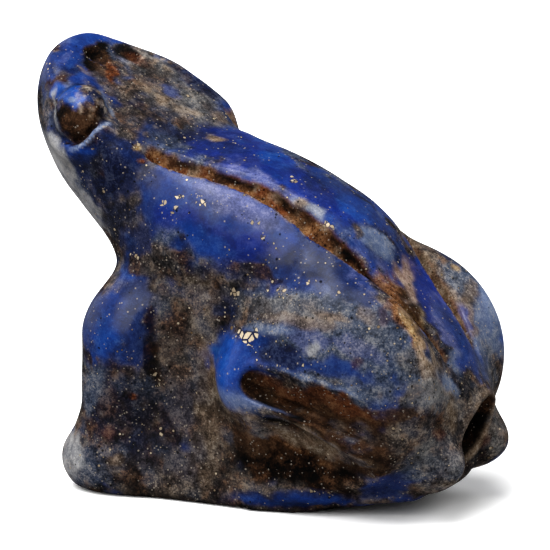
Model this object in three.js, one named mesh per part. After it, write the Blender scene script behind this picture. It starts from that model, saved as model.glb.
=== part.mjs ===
// Frog amulet: a squatting frog carved from one pebble of lapis lazuli, with a
// hanging bore that runs from under the tail to between the forefeet.
// Millimetres. +Z is up, the snout points to -X, the frog's left side is -Y.
// The flat of the underside lies on z = 0.
//
// The carving is one solid. It is described by one distance-like function that
// is negative inside the stone. Rounded masses are joined with soft seams, the
// carver's cuts are taken away, and the surface where the function is zero is
// meshed.

import * as THREE from 'three';

// Driving sizes of the amulet
const boreDiameter = 1.86;
const backHalfWidth = 2.02;
const flankHalfWidth = 2.9;
const haunchHalfWidth = 4.15;
const backSlope = 33;
const faceSlope = 29.5;
const faceRoll = 14.5;

// The trunk: four ovals down the line of the back, and a squared block
// underneath. Each oval is given by its centre (x, z), its three half lengths
// and its tilt, nose up, in degrees.
const rump = { x: 3.45, z: 3.55, size: [4.25, 3.2, 3.6], tilt: backSlope + 5 };
const loin = { x: 1.55, z: 5.85, size: [2.55, 4.3, 3.65], tilt: backSlope };
const shoulder = { x: 0.55, z: 7.85, size: [2.6, 4.25, 2.45], tilt: backSlope - 3.5 };
const chest = { x: -2.3, z: 2.85, size: [2.5, 3.6, 2.85], tilt: 0 };
const block = { x: -1.1, z: 3.15, size: [3.25, haunchHalfWidth, 3.75], round: 1.65 };
const flankRound = 1.75;
const flankFlare = { width: 0.35, height: 2.5 };

// The head: a jaw line on each side from the snout back to the corner of the
// face, an oval between them, and a throat that runs down into the chest. The
// carver's left jaw is the slimmer one.
const leftJaw = { from: [-6.05, 0.3, 12.8], to: [-4.0, 1.7, 10.9], radii: [1.3, 0.95] };
const rightJaw = { from: [-5.55, 0.25, 13.8], to: [-3.3, 1.95, 11.0], radii: [1.45, 1.25] };
const skull = { x: -5.5, z: 11.5, size: [2.3, 2.05, 1.9], tilt: 30 };
const throat = { from: [-4.35, 0, 10.75], to: [-2.15, 0, 8.55], radii: [2.65, 2.75] };

// The flat facet on top of the head, and the crease where it meets the back
const facet = { x: -5.9, z: 13.45, edge: 0.5 };
const crease = { x: -2.35, z: 11.25, skew: 0.2, slope: 40, valley: 0.5, edge: 1.0 };

// Eyes: a ball in a turned socket with a low lip round it. The socket's groove
// is given by its half width at the rear and, less than nothing, at the front.
const eyes = [
  { centre: [-5.32, -2.03, 11.83], axis: [-0.3, -0.87, 0.38] },
  { centre: [-5.1, 1.98, 11.9], axis: [-0.3, 0.87, 0.38] },
];
const eyeRadius = 0.93;
const eyeFlatness = 1.2;
const socket = { radius: 1.0, floor: 0.25, top: 0.8, rearHalf: 0.09, frontHalf: -0.03 };
const lip = { radius: 1.12, height: 0, tube: 0.24, under: 0.2 };

// Nostrils: two pits at the front edge of the facet, the left one with a
// short tail
const nostrils = [
  { centre: [-5.86, 0.1, 13.38], size: [0.42, 0.28, 0.34] },
  { centre: [-5.3, 1.15, 13.45], size: [0.55, 0.3, 0.36] },
];
const nostrilTail = { from: [-5.7, 0.08, 13.3], to: [-5.05, -0.08, 12.86], radii: [0.17, 0.06] };

// Forelegs, held close together, with a foot at the bottom of each
const foreleg = { from: [-3.5, 2.15, 5.0], to: [-4.05, 2.35, 2.45], radii: [1.6, 1.0] };
const forefoot = { centre: [-4.3, 2.2, 1.0], size: [1.6, 1.3, 1.3] };
const elbowHollow = { from: [-2.0, 3.7, 5.7], to: [-2.05, 3.85, 3.3], radii: [0.55, 0.5] };
const chestHollow = { from: [-5.6, 0, 5.4], to: [-5.9, 0, 0.6], radii: [0.5, 0.75] };

// Hind legs: a bulging haunch, a folded shin under it, hollowed out above a
// long flat foot
const haunch = { centre: [3.9, 2.85, 4.35], size: [2.95, 1.3, 3.05], tilt: 31 };
const knee = { from: [1.25, 2.75, 4.25], to: [5.1, 2.15, 3.35], radii: [1.4, 1.3] };
const shinHollow = { from: [2.15, 4.3, 2.0], to: [4.75, 3.95, 1.3], radii: [1.4, 0.9] };
const shinGroove = { from: [2.6, 4.1, 2.95], to: [5.3, 3.75, 2.2], radii: [0.16, 0.05] };
const sole = { front: 0.75, rear: 6.1, halfWidth: 3.05, taper: 0.2, top: 0.57, rise: 0.1 };

// The broad groove that parts the thigh from the shin. It starts with a round
// end at the knee and fades out on the way to the tail.
const thighGroove = { from: [1.58, 4.33], to: [6.9, 2.95], bow: 0.1, halfWidth: 0.52 };
const thighGrooveWidening = { slope: 0.06, until: 2.5, wave: 0.025 };
const thighGrooveDepth = { middle: 0.36, extraBelow: 0.3, fadeFrom: 3.0, fadeTo: 5.4 };

// The rear end: a belly oval, two heels, a short tail over the bore and the
// cleft under it
const belly = { x: 1.95, z: 0.65, size: [3.45, 3.05, 0.7] };
const heel = { centre: [6.35, 1.8, 1.9], size: [1.2, 0.75, 0.95] };
const tail = { x: 6.6, z: 3.2, size: [1.15, 1.15, 0.8] };
const cleft = { from: [8.3, 0, 2.2], to: [8.1, 0, 0.3], radii: [1.5, 1.25] };

// The two grooves that edge the back, drawn together towards the tail
const backGroove = { depth: 0.3, halfWidth: 0.26, wall: 0.17, narrowing: 1.3 };

// The underside: flat in front, lifting gently towards the tail
const underside = { flatUntil: 2.15, slope: 0.16, heelLift: 0.35, heelFrom: 6.2, edge: 0.22 };

// The bore: its middle line drops a little from the tail to the chest
const bore = { rearX: 8, rearZ: 2.72, frontX: -6.5, drop: 0.5 };

// Mesh sizes: an even net of fine cells, thinned where the surface is flat.
// A triangle's shape is twice its area over its longest side squared.
const netCell = 0.17;
const mendingRounds = 30;
const spreadingRounds = 2;
const triangleLimit = 9500;
const sweepShare = 0.12;
const evenness = 1e-4;
const middlePull = 0.002;
const soundShape = 0.12;
const splinterShape = 0.03;
const flatBand = 0.015;

const radians = Math.PI / 180;
const clamp = (value, low, high) => Math.min(Math.max(value, low), high);

function smoothStep(low, high, value) {
  const t = clamp((value - low) / (high - low), 0, 1);
  return t * t * (3 - 2 * t);
}

// Join two shapes with a soft seam about as wide as blend
function join(a, b, blend) {
  const overlap = Math.max(blend - Math.abs(a - b), 0) / blend;
  return Math.min(a, b) - overlap * overlap * blend * 0.25;
}

// Keep what lies inside both shapes, with a softened edge
function keep(a, b, blend) {
  return -join(-a, -b, blend);
}

function cut(shape, tool, blend) {
  return keep(shape, -tool, blend);
}

// Distance to an oval with half lengths size, tilted nose up
function oval(x, y, z, centre, size, tilt) {
  const c = Math.cos(tilt * radians);
  const s = Math.sin(tilt * radians);
  const dx = x - centre[0];
  const dy = y - centre[1];
  const dz = z - centre[2];
  const u = [dx * c - dz * s, dy, dx * s + dz * c];
  const near = Math.hypot(u[0] / size[0], u[1] / size[1], u[2] / size[2]);
  const far = Math.hypot(u[0] / size[0] ** 2, u[1] / size[1] ** 2, u[2] / size[2] ** 2);
  return near * (near - 1) / Math.max(far, 1e-6);
}

function middleOval(x, y, z, mass) {
  return oval(x, y, z, [mass.x, 0, mass.z], mass.size, mass.tilt ?? 0);
}

// Distance to a limb: two balls of the given radii and the cone between them
function limb(x, y, z, { from, to, radii }) {
  const axis = to.map((value, i) => value - from[i]);
  const length2 = axis[0] ** 2 + axis[1] ** 2 + axis[2] ** 2;
  const taper = radii[0] - radii[1];
  const slant2 = length2 - taper * taper;
  const p = [x - from[0], y - from[1], z - from[2]];
  const along = p[0] * axis[0] + p[1] * axis[1] + p[2] * axis[2];
  const past = along - length2;
  let side2 = 0;
  for (let i = 0; i < 3; i += 1) {
    side2 += (p[i] * length2 - axis[i] * along) ** 2;
  }
  const start2 = along * along * length2;
  const end2 = past * past * length2;
  const slope = Math.sign(taper) * taper * taper * side2;
  if (Math.sign(past) * slant2 * end2 > slope) {
    return Math.sqrt(side2 + end2) / length2 - radii[1];
  }
  if (Math.sign(along) * slant2 * start2 < slope) {
    return Math.sqrt(side2 + start2) / length2 - radii[0];
  }
  return (Math.sqrt(side2 * slant2 / length2) + along * taper) / length2 - radii[0];
}

function roundedBlock(x, y, z, { x: middleX, z: middleZ, size, round }) {
  const q = [
    Math.abs(x - middleX) - size[0] + round,
    Math.abs(y) - size[1] + round,
    Math.abs(z - middleZ) - size[2] + round,
  ];
  const outside = Math.hypot(Math.max(q[0], 0), Math.max(q[1], 0), Math.max(q[2], 0));
  return outside + Math.min(Math.max(q[0], q[1], q[2]), 0) - round;
}

// The trunk, clipped by the two upright flanks, which flare out at the bottom
function trunk(x, y, z) {
  let shape = middleOval(x, y, z, rump);
  shape = join(shape, middleOval(x, y, z, loin), 1.5);
  shape = join(shape, middleOval(x, y, z, shoulder), 1.5);
  shape = join(shape, middleOval(x, y, z, chest), 1.2);
  shape = join(shape, roundedBlock(x, y, z, block), 1.8);
  const low = clamp(1 - z / flankFlare.height, 0, 1);
  const flank = flankHalfWidth + flankFlare.width * low * low;
  return keep(shape, Math.abs(y) - flank, flankRound);
}

// Height above the facet, measured square to it
function aboveFacet(x, y, z) {
  const slope = faceSlope * radians;
  const roll = faceRoll * radians;
  const dx = x - facet.x;
  const dz = z - facet.z;
  return (dx * Math.sin(slope) + dz * Math.cos(slope)) * Math.cos(roll) - y * Math.sin(roll);
}

function head(x, y, z) {
  let shape = join(limb(x, -y, z, leftJaw), limb(x, y, z, rightJaw), 0.5);
  shape = join(shape, middleOval(x, y, z, skull), 0.6);
  shape = join(shape, limb(x, y, z, throat), 0.8);
  return keep(shape, aboveFacet(x, y, z), facet.edge);
}

// What is cut away above the facet, back as far as the crease
function facetCut(x, y, z) {
  const slope = crease.slope * radians;
  const beyond = (x - crease.x - crease.skew * y) * Math.cos(slope)
    - (z - crease.z) * Math.sin(slope);
  const tool = keep(-aboveFacet(x, y, z), beyond, crease.valley);
  const edge = facet.edge + (crease.edge - facet.edge) * smoothStep(-0.6, 0.6, beyond);
  return { tool, edge };
}

function hindFoot(x, side, z) {
  const width = side - sole.halfWidth + sole.taper * (x - sole.front);
  const height = z - sole.top - sole.rise * (x - sole.front);
  const length = keep(sole.front - x, x - sole.rear, 0.3);
  return keep(keep(width, height, 0.45), length, 0.3);
}

// How far the groove between thigh and shin sinks the surface. Its floor
// slopes in towards its lower edge.
function thighGrooveSink(x, side, z) {
  const dx = thighGroove.to[0] - thighGroove.from[0];
  const dz = thighGroove.to[1] - thighGroove.from[1];
  const length = Math.hypot(dx, dz);
  const px = x - thighGroove.from[0];
  const pz = z - thighGroove.from[1];
  const along = (px * dx + pz * dz) / length;
  const bow = thighGroove.bow * Math.sin(Math.PI * clamp(along / length, 0, 1));
  const across = (pz * dx - px * dz) / length - bow;
  const { slope, until, wave } = thighGrooveWidening;
  const wider = slope * clamp(along, 0, until) + wave * Math.sin(2.3 * along);
  const halfWidth = thighGroove.halfWidth + wider;
  const reach = Math.hypot(Math.min(along, 0), across);
  const inside = 1 - smoothStep(halfWidth - 0.24, halfWidth + 0.12, reach);
  const lower = clamp(-across / halfWidth, -1, 1);
  const depth = thighGrooveDepth.middle + thighGrooveDepth.extraBelow * lower;
  const fade = 1 - smoothStep(thighGrooveDepth.fadeFrom, thighGrooveDepth.fadeTo, along);
  return depth * inside * fade * smoothStep(2.2, 2.8, side);
}

// How far the two grooves along the back sink the surface
function backGrooveSink(x, y, z) {
  const shift = -0.15 * smoothStep(3.5, 5.5, x);
  const wobble = 0.025 * Math.sin(2.3 * x + 1);
  const narrow = backGroove.narrowing * smoothStep(3.9, 8.0, x);
  const offset = Math.abs(Math.abs(y - shift) - (backHalfWidth - narrow + wobble));
  const wider = 0.05 * smoothStep(2.5, 4.5, x) - 0.1 * smoothStep(5.5, 6.8, x);
  const halfWidth = backGroove.halfWidth + wider;
  const wall = backGroove.wall;
  const inside = 1 - smoothStep(halfWidth - wall, halfWidth + wall, offset);
  const start = smoothStep(-0.4, 0, x - crease.x - crease.skew * y);
  const end = 1 - smoothStep(5.8, 7.2, x);
  return backGroove.depth * inside * start * end * smoothStep(3.6, 4.4, z);
}

// Raise the lip, set the ball in it and turn the groove behind the ball. In
// front of the ball the groove runs out.
function addEye(shape, x, y, z, { centre, axis }) {
  const size = Math.hypot(...axis);
  const p = [x - centre[0], y - centre[1], z - centre[2]];
  const height = (p[0] * axis[0] + p[1] * axis[1] + p[2] * axis[2]) / size;
  const distance = Math.hypot(...p);
  if (distance > 3 || height < -0.6) {
    return shape;
  }
  const radius = Math.sqrt(Math.max(distance ** 2 - height ** 2, 0));
  const ring = Math.hypot(radius - lip.radius, height - lip.height) - lip.tube;
  let result = join(shape, keep(ring, aboveFacet(x, y, z) + lip.under, 0.3), 0.45);
  result = join(result, Math.hypot(radius, eyeFlatness * height) - eyeRadius, 0.08);
  const rear = smoothStep(-0.6, 0.4, p[0] / Math.max(distance, 0.3));
  const halfWidth = socket.frontHalf + (socket.rearHalf - socket.frontHalf) * rear;
  const groove = Math.hypot(radius - socket.radius, height - clamp(height, socket.floor, socket.top));
  if (height > -0.3) {
    result = cut(result, groove - halfWidth, 0.07);
  }
  return result;
}

function boreCut(x, y, z) {
  const t = (bore.rearX - x) / (bore.rearX - bore.frontX);
  return Math.hypot(y, z - bore.rearZ + bore.drop * t) - boreDiameter / 2;
}

function undersideHeight(x) {
  const lift = Math.max(x - underside.heelFrom, 0);
  return underside.slope * Math.max(x - underside.flatUntil, 0) + underside.heelLift * lift * lift;
}

// The whole frog: masses first, then the cuts
function frog(x, y, z) {
  const side = Math.abs(y);
  let shape = join(trunk(x, y, z), head(x, y, z), 2.0);
  shape = join(shape, oval(x, side, z, haunch.centre, haunch.size, haunch.tilt), 1.8);
  shape = join(shape, limb(x, side, z, knee), 0.5);
  const above = facetCut(x, y, z);
  shape = cut(shape, above.tool, above.edge);
  const arm = limb(x, side, z, foreleg);
  shape = join(shape, join(arm, oval(x, side, z, forefoot.centre, forefoot.size, 0), 0.9), 1.0);
  shape = join(shape, middleOval(x, y, z, belly), 0.5);
  shape = join(shape, oval(x, side, z, heel.centre, heel.size, 0), 0.6);
  shape = join(shape, middleOval(x, y, z, tail), 0.7);
  shape = cut(shape, limb(x, side, z, shinHollow), 0.18);
  shape = join(shape, hindFoot(x, side, z), 0.2);
  shape = cut(shape, limb(x, side, z, shinGroove), 0.15);
  shape += thighGrooveSink(x, side, z);
  shape = cut(shape, limb(x, side, z, elbowHollow), 0.4);
  shape = cut(shape, limb(x, y, z, chestHollow), 0.5);
  shape += backGrooveSink(x, y, z);
  for (const eye of eyes) {
    shape = addEye(shape, x, y, z, eye);
  }
  for (const nostril of nostrils) {
    shape = cut(shape, oval(x, y, z, nostril.centre, nostril.size, 30), 0.1);
  }
  shape = cut(shape, limb(x, y, z, nostrilTail), 0.06);
  shape = cut(shape, limb(x, y, z, cleft), 0.3);
  shape = keep(shape, undersideHeight(x) - z, underside.edge);
  return cut(shape, boreCut(x, y, z), 0.1);
}

function slopeOf(point) {
  const step = 0.01;
  const [x, y, z] = point;
  return [
    (frog(x + step, y, z) - frog(x - step, y, z)) / (2 * step),
    (frog(x, y + step, z) - frog(x, y - step, z)) / (2 * step),
    (frog(x, y, z + step) - frog(x, y, z - step)) / (2 * step),
  ];
}

// Move a point onto the surface along the function's slope, by reach at most
function settle(point, reach) {
  const steps = 3;
  let place = point;
  for (let i = 0; i < steps; i += 1) {
    const value = frog(...place);
    const slope = slopeOf(place);
    const steep = Math.max(Math.hypot(...slope), 0.2);
    const move = clamp(value / steep, -reach / steps, reach / steps);
    place = place.map((number, axis) => number - slope[axis] * move / steep);
  }
  return place;
}

const corners = [0, 1, 2, 3, 4, 5, 6, 7];

// The corners of a cell that lie apart from the others on their own side of
// the surface. The bits of a corner's number are its place along x, y and z.
function strayCorners(cornerValues) {
  for (const side of [true, false]) {
    const members = corners.filter((corner) => (cornerValues[corner] < 0) === side);
    const reached = new Set(members.slice(0, 1));
    for (const corner of reached) {
      for (const bit of [1, 2, 4]) {
        if (members.includes(corner ^ bit)) {
          reached.add(corner ^ bit);
        }
      }
    }
    if (reached.size < members.length) {
      const rest = members.filter((corner) => !reached.has(corner));
      return rest.length < reached.size ? rest : [...reached];
    }
  }
  return [];
}

// A closed net: one vertex in every cell that the surface crosses, and one
// pair of triangles for every crossed grid edge
function evenNet(cell) {
  const low = [-8.5, -5.1, -0.63];
  const high = [8.6, 5.1, 14.7];
  const count = low.map((value, axis) => Math.ceil((high[axis] - value) / cell) + 1);
  const index = (i, j, k) => (i * count[1] + j) * count[2] + k;
  const values = new Float64Array(count[0] * count[1] * count[2]);
  for (let i = 0; i < count[0]; i += 1) {
    for (let j = 0; j < count[1]; j += 1) {
      for (let k = 0; k < count[2]; k += 1) {
        values[index(i, j, k)] = frog(low[0] + i * cell, low[1] + j * cell, low[2] + k * cell);
      }
    }
  }

  // No cell may hold two sheets of the surface, so stray corners change side
  let mended = true;
  for (let round = 0; mended && round < mendingRounds; round += 1) {
    mended = false;
    for (let i = 0; i < count[0] - 1; i += 1) {
      for (let j = 0; j < count[1] - 1; j += 1) {
        for (let k = 0; k < count[2] - 1; k += 1) {
          const places = corners.map((n) => index(i + (n & 1), j + ((n >> 1) & 1), k + (n >> 2)));
          for (const corner of strayCorners(places.map((place) => values[place]))) {
            values[places[corner]] = -Math.sign(values[places[corner]]) * 0.02;
            mended = true;
          }
        }
      }
    }
  }

  const points = [];
  const cellPoint = new Map();
  const steps = [[1, 0, 0], [0, 1, 0], [0, 0, 1]];
  for (let i = 0; i < count[0] - 1; i += 1) {
    for (let j = 0; j < count[1] - 1; j += 1) {
      for (let k = 0; k < count[2] - 1; k += 1) {
        const crossings = [];
        for (let corner = 0; corner < 8; corner += 1) {
          const at = [i + (corner & 1), j + ((corner >> 1) & 1), k + ((corner >> 2) & 1)];
          for (let axis = 0; axis < 3; axis += 1) {
            if ((corner >> axis) & 1) {
              continue;
            }
            const here = values[index(...at)];
            const there = values[index(...at.map((value, d) => value + steps[axis][d]))];
            if ((here < 0) !== (there < 0)) {
              const t = here / (here - there);
              crossings.push(at.map((value, d) => value + t * steps[axis][d]));
            }
          }
        }
        if (crossings.length > 0) {
          const mean = low.map((start, d) => {
            const sum = crossings.reduce((total, point) => total + point[d], 0);
            return start + cell * sum / crossings.length;
          });
          cellPoint.set(index(i, j, k), points.length);
          points.push(settle(mean, cell / 2));
        }
      }
    }
  }

  const triangles = [];
  const diagonals = new Set();
  for (let axis = 0; axis < 3; axis += 1) {
    const next = steps[(axis + 1) % 3];
    const last = steps[(axis + 2) % 3];
    for (let i = 1; i < count[0] - 1; i += 1) {
      for (let j = 1; j < count[1] - 1; j += 1) {
        for (let k = 1; k < count[2] - 1; k += 1) {
          const here = values[index(i, j, k)] < 0;
          const there = values[index(i + steps[axis][0], j + steps[axis][1], k + steps[axis][2])] < 0;
          if (here === there) {
            continue;
          }
          const around = [[0, 0], [1, 0], [1, 1], [0, 1]].map(([a, b]) => cellPoint.get(index(
            i - a * next[0] - b * last[0],
            j - a * next[1] - b * last[1],
            k - a * next[2] - b * last[2],
          )));
          if (!here) {
            around.reverse();
          }
          const [a, b, c, d] = around;
          const first = edgeLength(points[a], points[c]);
          const second = edgeLength(points[b], points[d]);
          const firstTaken = diagonals.has(edgeKey(a, c));
          const secondTaken = diagonals.has(edgeKey(b, d));
          if (secondTaken || (first < second && !firstTaken)) {
            triangles.push([a, b, c], [a, c, d]);
            diagonals.add(edgeKey(a, c));
          } else {
            triangles.push([a, b, d], [b, c, d]);
            diagonals.add(edgeKey(b, d));
          }
        }
      }
    }
  }
  return { points, triangles };
}

function edgeLength(a, b) {
  return Math.hypot(a[0] - b[0], a[1] - b[1], a[2] - b[2]);
}

const edgeKey = (a, b) => (a < b ? a * 1e6 + b : b * 1e6 + a);

// Even out the spacing of the points along the surface
function spreadOut({ points, triangles }, rounds, reach) {
  const around = points.map(() => new Set());
  for (const [a, b, c] of triangles) {
    around[a].add(b).add(c);
    around[b].add(c).add(a);
    around[c].add(a).add(b);
  }
  let places = points;
  for (let round = 0; round < rounds; round += 1) {
    places = places.map((place, n) => {
      const mean = [0, 0, 0];
      for (const other of around[n]) {
        places[other].forEach((value, axis) => { mean[axis] += value / around[n].size; });
      }
      return settle(mean, reach);
    });
  }
  return { points: places, triangles };
}

// The normal of a triangle, as long as twice the triangle's area
function faceNormal(a, b, c) {
  const u = b.map((value, axis) => value - a[axis]);
  const v = c.map((value, axis) => value - a[axis]);
  return [u[1] * v[2] - u[2] * v[1], u[2] * v[0] - u[0] * v[2], u[0] * v[1] - u[1] * v[0]];
}

const dot = (a, b) => a[0] * b[0] + a[1] * b[1] + a[2] * b[2];
const longestSide = ([a, b, c]) => Math.max(edgeLength(a, b), edgeLength(b, c), edgeLength(c, a));

// The sum of a triangle's area times the squared distance from its plane, as
// the ten factors of x, y, z and 1 taken in pairs
function planeError(a, b, c) {
  const normal = faceNormal(a, b, c);
  const size = Math.max(Math.hypot(...normal), 1e-12);
  const plane = [...normal.map((value) => value / size), -dot(normal, a) / size];
  const factors = [];
  for (let i = 0; i < 4; i += 1) {
    for (let j = i; j < 4; j += 1) {
      factors.push(plane[i] * plane[j] * size / 2);
    }
  }
  return factors;
}

function errorAt(e, [x, y, z]) {
  const squares = e[0] * x * x + e[4] * y * y + e[7] * z * z + e[9];
  return squares + 2 * (e[1] * x * y + e[2] * x * z + e[3] * x + e[5] * y * z + e[6] * y + e[8] * z);
}

// The place with the least error, drawn very slightly to the middle of a and b
function bestPlace(e, a, b) {
  const pull = middlePull * (e[0] + e[4] + e[7]);
  const middle = a.map((value, axis) => (value + b[axis]) / 2);
  const rows = [[e[0] + pull, e[1], e[2]], [e[1], e[4] + pull, e[5]], [e[2], e[5], e[7] + pull]];
  const right = [pull * middle[0] - e[3], pull * middle[1] - e[6], pull * middle[2] - e[8]];
  const matrix = new THREE.Matrix3().set(...rows.flat()).invert();
  return new THREE.Vector3(...right).applyMatrix3(matrix).toArray();
}

// Thin the net out to the given number of triangles. In each sweep the
// cheapest edges shrink to a point, no two of them side by side.
function thinOut({ points, triangles }, limit) {
  const fans = points.map(() => new Set());
  const errors = points.map(() => new Array(10).fill(0));
  for (const triangle of triangles) {
    const error = planeError(...triangle.map((n) => points[n]));
    for (const n of triangle) {
      fans[n].add(triangle);
      error.forEach((value, i) => { errors[n][i] += value; });
    }
  }
  const neighbours = (n) => new Set([...fans[n]].flat().filter((other) => other !== n));

  // A triangle may neither turn over nor become a splinter
  const staysSound = (n, other, place) => [...fans[n]].every((triangle) => {
    if (triangle.includes(other)) {
      return true;
    }
    const before = triangle.map((corner) => points[corner]);
    const after = triangle.map((corner) => (corner === n ? place : points[corner]));
    const oldNormal = faceNormal(...before);
    const newNormal = faceNormal(...after);
    const oldSize = Math.hypot(...oldNormal);
    const newSize = Math.hypot(...newNormal);
    const oldShape = oldSize / longestSide(before) ** 2;
    const newShape = newSize / longestSide(after) ** 2;
    const turned = dot(oldNormal, newNormal) < 0.5 * oldSize * newSize;
    return newShape > Math.min(soundShape, oldShape) && (!turned || oldShape < splinterShape);
  });

  let count = triangles.length;
  while (count > limit) {
    const edges = [];
    fans.forEach((fan, a) => {
      for (const b of fan.size > 0 ? neighbours(a) : []) {
        if (a < b) {
          const error = errors[a].map((value, i) => value + errors[b][i]);
          const place = bestPlace(error, points[a], points[b]);
          const spread = evenness * edgeLength(points[a], points[b]) ** 2;
          const cost = errorAt(error, place) + spread * (error[0] + error[4] + error[7]);
          edges.push({ a, b, error, place, cost });
        }
      }
    });
    edges.sort((p, q) => p.cost - q.cost);
    const touched = new Set();
    let shrunk = 0;
    for (const { a, b, error, place } of edges.slice(0, Math.ceil(edges.length * sweepShare))) {
      if (count <= limit || touched.has(a) || touched.has(b)) {
        continue;
      }
      const around = neighbours(a);
      const shared = [...neighbours(b)].filter((n) => around.has(n));
      if (shared.length !== 2 || !staysSound(a, b, place) || !staysSound(b, a, place)) {
        continue;
      }
      for (const n of [...around, ...neighbours(b)]) {
        touched.add(n);
      }
      points[a] = place;
      errors[a] = error;
      for (const triangle of [...fans[b]]) {
        for (const n of triangle) {
          fans[n].delete(triangle);
        }
        if (!triangle.includes(a)) {
          triangle[triangle.indexOf(b)] = a;
          for (const n of triangle) {
            fans[n].add(triangle);
          }
        }
      }
      count -= 2;
      shrunk += 1;
    }
    if (shrunk === 0) {
      break;
    }
  }

  const kept = new Map();
  fans.forEach((fan, n) => {
    if (fan.size > 0) {
      kept.set(n, kept.size);
    }
  });
  const left = new Set(fans.flatMap((fan) => [...fan]));
  return {
    points: [...kept.keys()].map((n) => points[n]),
    triangles: [...left].map((triangle) => triangle.map((n) => kept.get(n))),
  };
}

function carvedSolid() {
  const even = spreadOut(evenNet(netCell), spreadingRounds, netCell);
  const net = thinOut(even, triangleLimit);
  for (const point of net.points) {
    if (Math.abs(point[2]) < flatBand) {
      point[2] = 0;
    }
  }
  const geometry = new THREE.BufferGeometry();
  geometry.setAttribute('position', new THREE.Float32BufferAttribute(net.points.flat(), 3));
  geometry.setIndex(net.triangles.flat());
  geometry.computeVertexNormals();

  // The origin is the middle of the footprint, on the ground
  geometry.computeBoundingBox();
  const middle = geometry.boundingBox.getCenter(new THREE.Vector3());
  geometry.translate(-middle.x, -middle.y, 0);
  return geometry;
}

const stone = new THREE.MeshStandardMaterial({ color: 0x28389a, roughness: 0.3, metalness: 0 });
const carving = new THREE.Mesh(carvedSolid(), stone);
carving.name = 'frog';

const amulet = new THREE.Group();
amulet.add(carving);

export default amulet;
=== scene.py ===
"""The looks of a frog amulet: a squatting frog carved from one pebble of lapis
lazuli, worn, with earth in its cuts and specks of pyrite, on a pale floor."""
import math

import bpy
import numpy as np
from mathutils import Matrix, Vector


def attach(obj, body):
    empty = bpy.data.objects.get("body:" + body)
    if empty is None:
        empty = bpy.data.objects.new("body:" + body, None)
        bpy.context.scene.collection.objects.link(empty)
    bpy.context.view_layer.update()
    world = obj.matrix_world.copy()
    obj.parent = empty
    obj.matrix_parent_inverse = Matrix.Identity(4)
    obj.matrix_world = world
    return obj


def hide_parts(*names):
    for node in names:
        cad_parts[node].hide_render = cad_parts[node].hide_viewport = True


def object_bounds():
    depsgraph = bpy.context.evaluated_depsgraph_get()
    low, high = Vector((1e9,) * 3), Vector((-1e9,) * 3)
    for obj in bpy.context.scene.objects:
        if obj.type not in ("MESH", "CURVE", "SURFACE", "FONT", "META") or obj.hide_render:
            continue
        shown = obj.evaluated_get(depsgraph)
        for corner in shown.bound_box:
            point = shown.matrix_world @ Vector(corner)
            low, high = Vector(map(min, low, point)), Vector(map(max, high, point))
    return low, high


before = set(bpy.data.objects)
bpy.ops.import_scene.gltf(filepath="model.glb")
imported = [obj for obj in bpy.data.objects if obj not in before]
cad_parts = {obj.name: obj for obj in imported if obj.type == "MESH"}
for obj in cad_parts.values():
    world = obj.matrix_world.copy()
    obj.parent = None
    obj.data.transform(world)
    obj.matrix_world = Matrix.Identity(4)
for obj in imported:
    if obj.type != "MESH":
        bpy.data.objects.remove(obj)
cad_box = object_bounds()

# The camera stands where the photographer stood: at the frog's left side, a
# little towards its rear and a little above it. Lengths here are in
# millimetres, like the carving's own sizes below.
MM = 0.001
PHOTO_SIZE = 550
PIXELS_PER_MM = 32
CAMERA_TURN = math.radians(25)
CAMERA_RISE = math.radians(12)
CAMERA_DISTANCE = 130.0
AIM_HEIGHT = 6.8
AIM_PIXEL = (264, 275)
SENSOR_WIDTH = 36.0

view_right = np.array([math.cos(CAMERA_TURN), math.sin(CAMERA_TURN), 0.0])
view_forward = np.array([
    -math.sin(CAMERA_TURN) * math.cos(CAMERA_RISE),
    math.cos(CAMERA_TURN) * math.cos(CAMERA_RISE),
    -math.sin(CAMERA_RISE),
])
view_up = np.cross(view_right, view_forward)

# the carving's own axis lies a hair off the middle of its footprint
AXIS_SHIFT = 0.05
aim = np.array([AXIS_SHIFT, 0.0, AIM_HEIGHT])

camera_data = bpy.data.cameras.new("photo_camera")
camera_data.sensor_width = SENSOR_WIDTH
camera_data.lens = SENSOR_WIDTH * CAMERA_DISTANCE * PIXELS_PER_MM / PHOTO_SIZE
camera_data.shift_x = (PHOTO_SIZE / 2 - AIM_PIXEL[0]) / PHOTO_SIZE
camera_data.shift_y = (AIM_PIXEL[1] - PHOTO_SIZE / 2) / PHOTO_SIZE
camera_data.clip_start = 0.005
camera = bpy.data.objects.new("photo_camera", camera_data)
bpy.context.collection.objects.link(camera)
camera_place = Vector((aim - view_forward * CAMERA_DISTANCE) * MM)
camera_turn = Matrix(np.column_stack([view_right, view_up, -view_forward]).tolist())
camera.matrix_world = Matrix.Translation(camera_place) @ camera_turn.to_4x4()
bpy.context.scene.camera = camera

# The frog, first its form. It is one solid stone: rounded masses for trunk,
# head and legs, ground flat on the face and the flanks, with grooves cut along
# the back and across the haunches, turned eyes, drilled nostrils and a bore.
RUMP = dict(centre=(3.45, 0, 3.55), size=(4.25, 3.2, 3.6), tilt=38)
LOIN = dict(centre=(1.55, 0, 5.85), size=(2.55, 4.3, 3.65), tilt=33)
SHOULDER = dict(centre=(0.55, 0, 7.85), size=(2.6, 4.25, 2.45), tilt=29.5)
CHEST = dict(centre=(-2.3, 0, 2.85), size=(2.5, 3.6, 2.85), tilt=0)
BLOCK = dict(centre=(-1.1, 0, 3.15), size=(3.25, 4.15, 3.75), rounding=1.65)
FLANK_HALF_WIDTH, FLANK_ROUND, FLANK_FLARE = 2.9, 1.75, 0.35
LEFT_JAW = dict(start=(-6.05, 0.3, 12.8), end=(-4.0, 1.7, 10.9), radii=(1.3, 0.95))
RIGHT_JAW = dict(start=(-5.55, 0.25, 13.8), end=(-3.3, 1.95, 11.0), radii=(1.45, 1.25))
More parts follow.
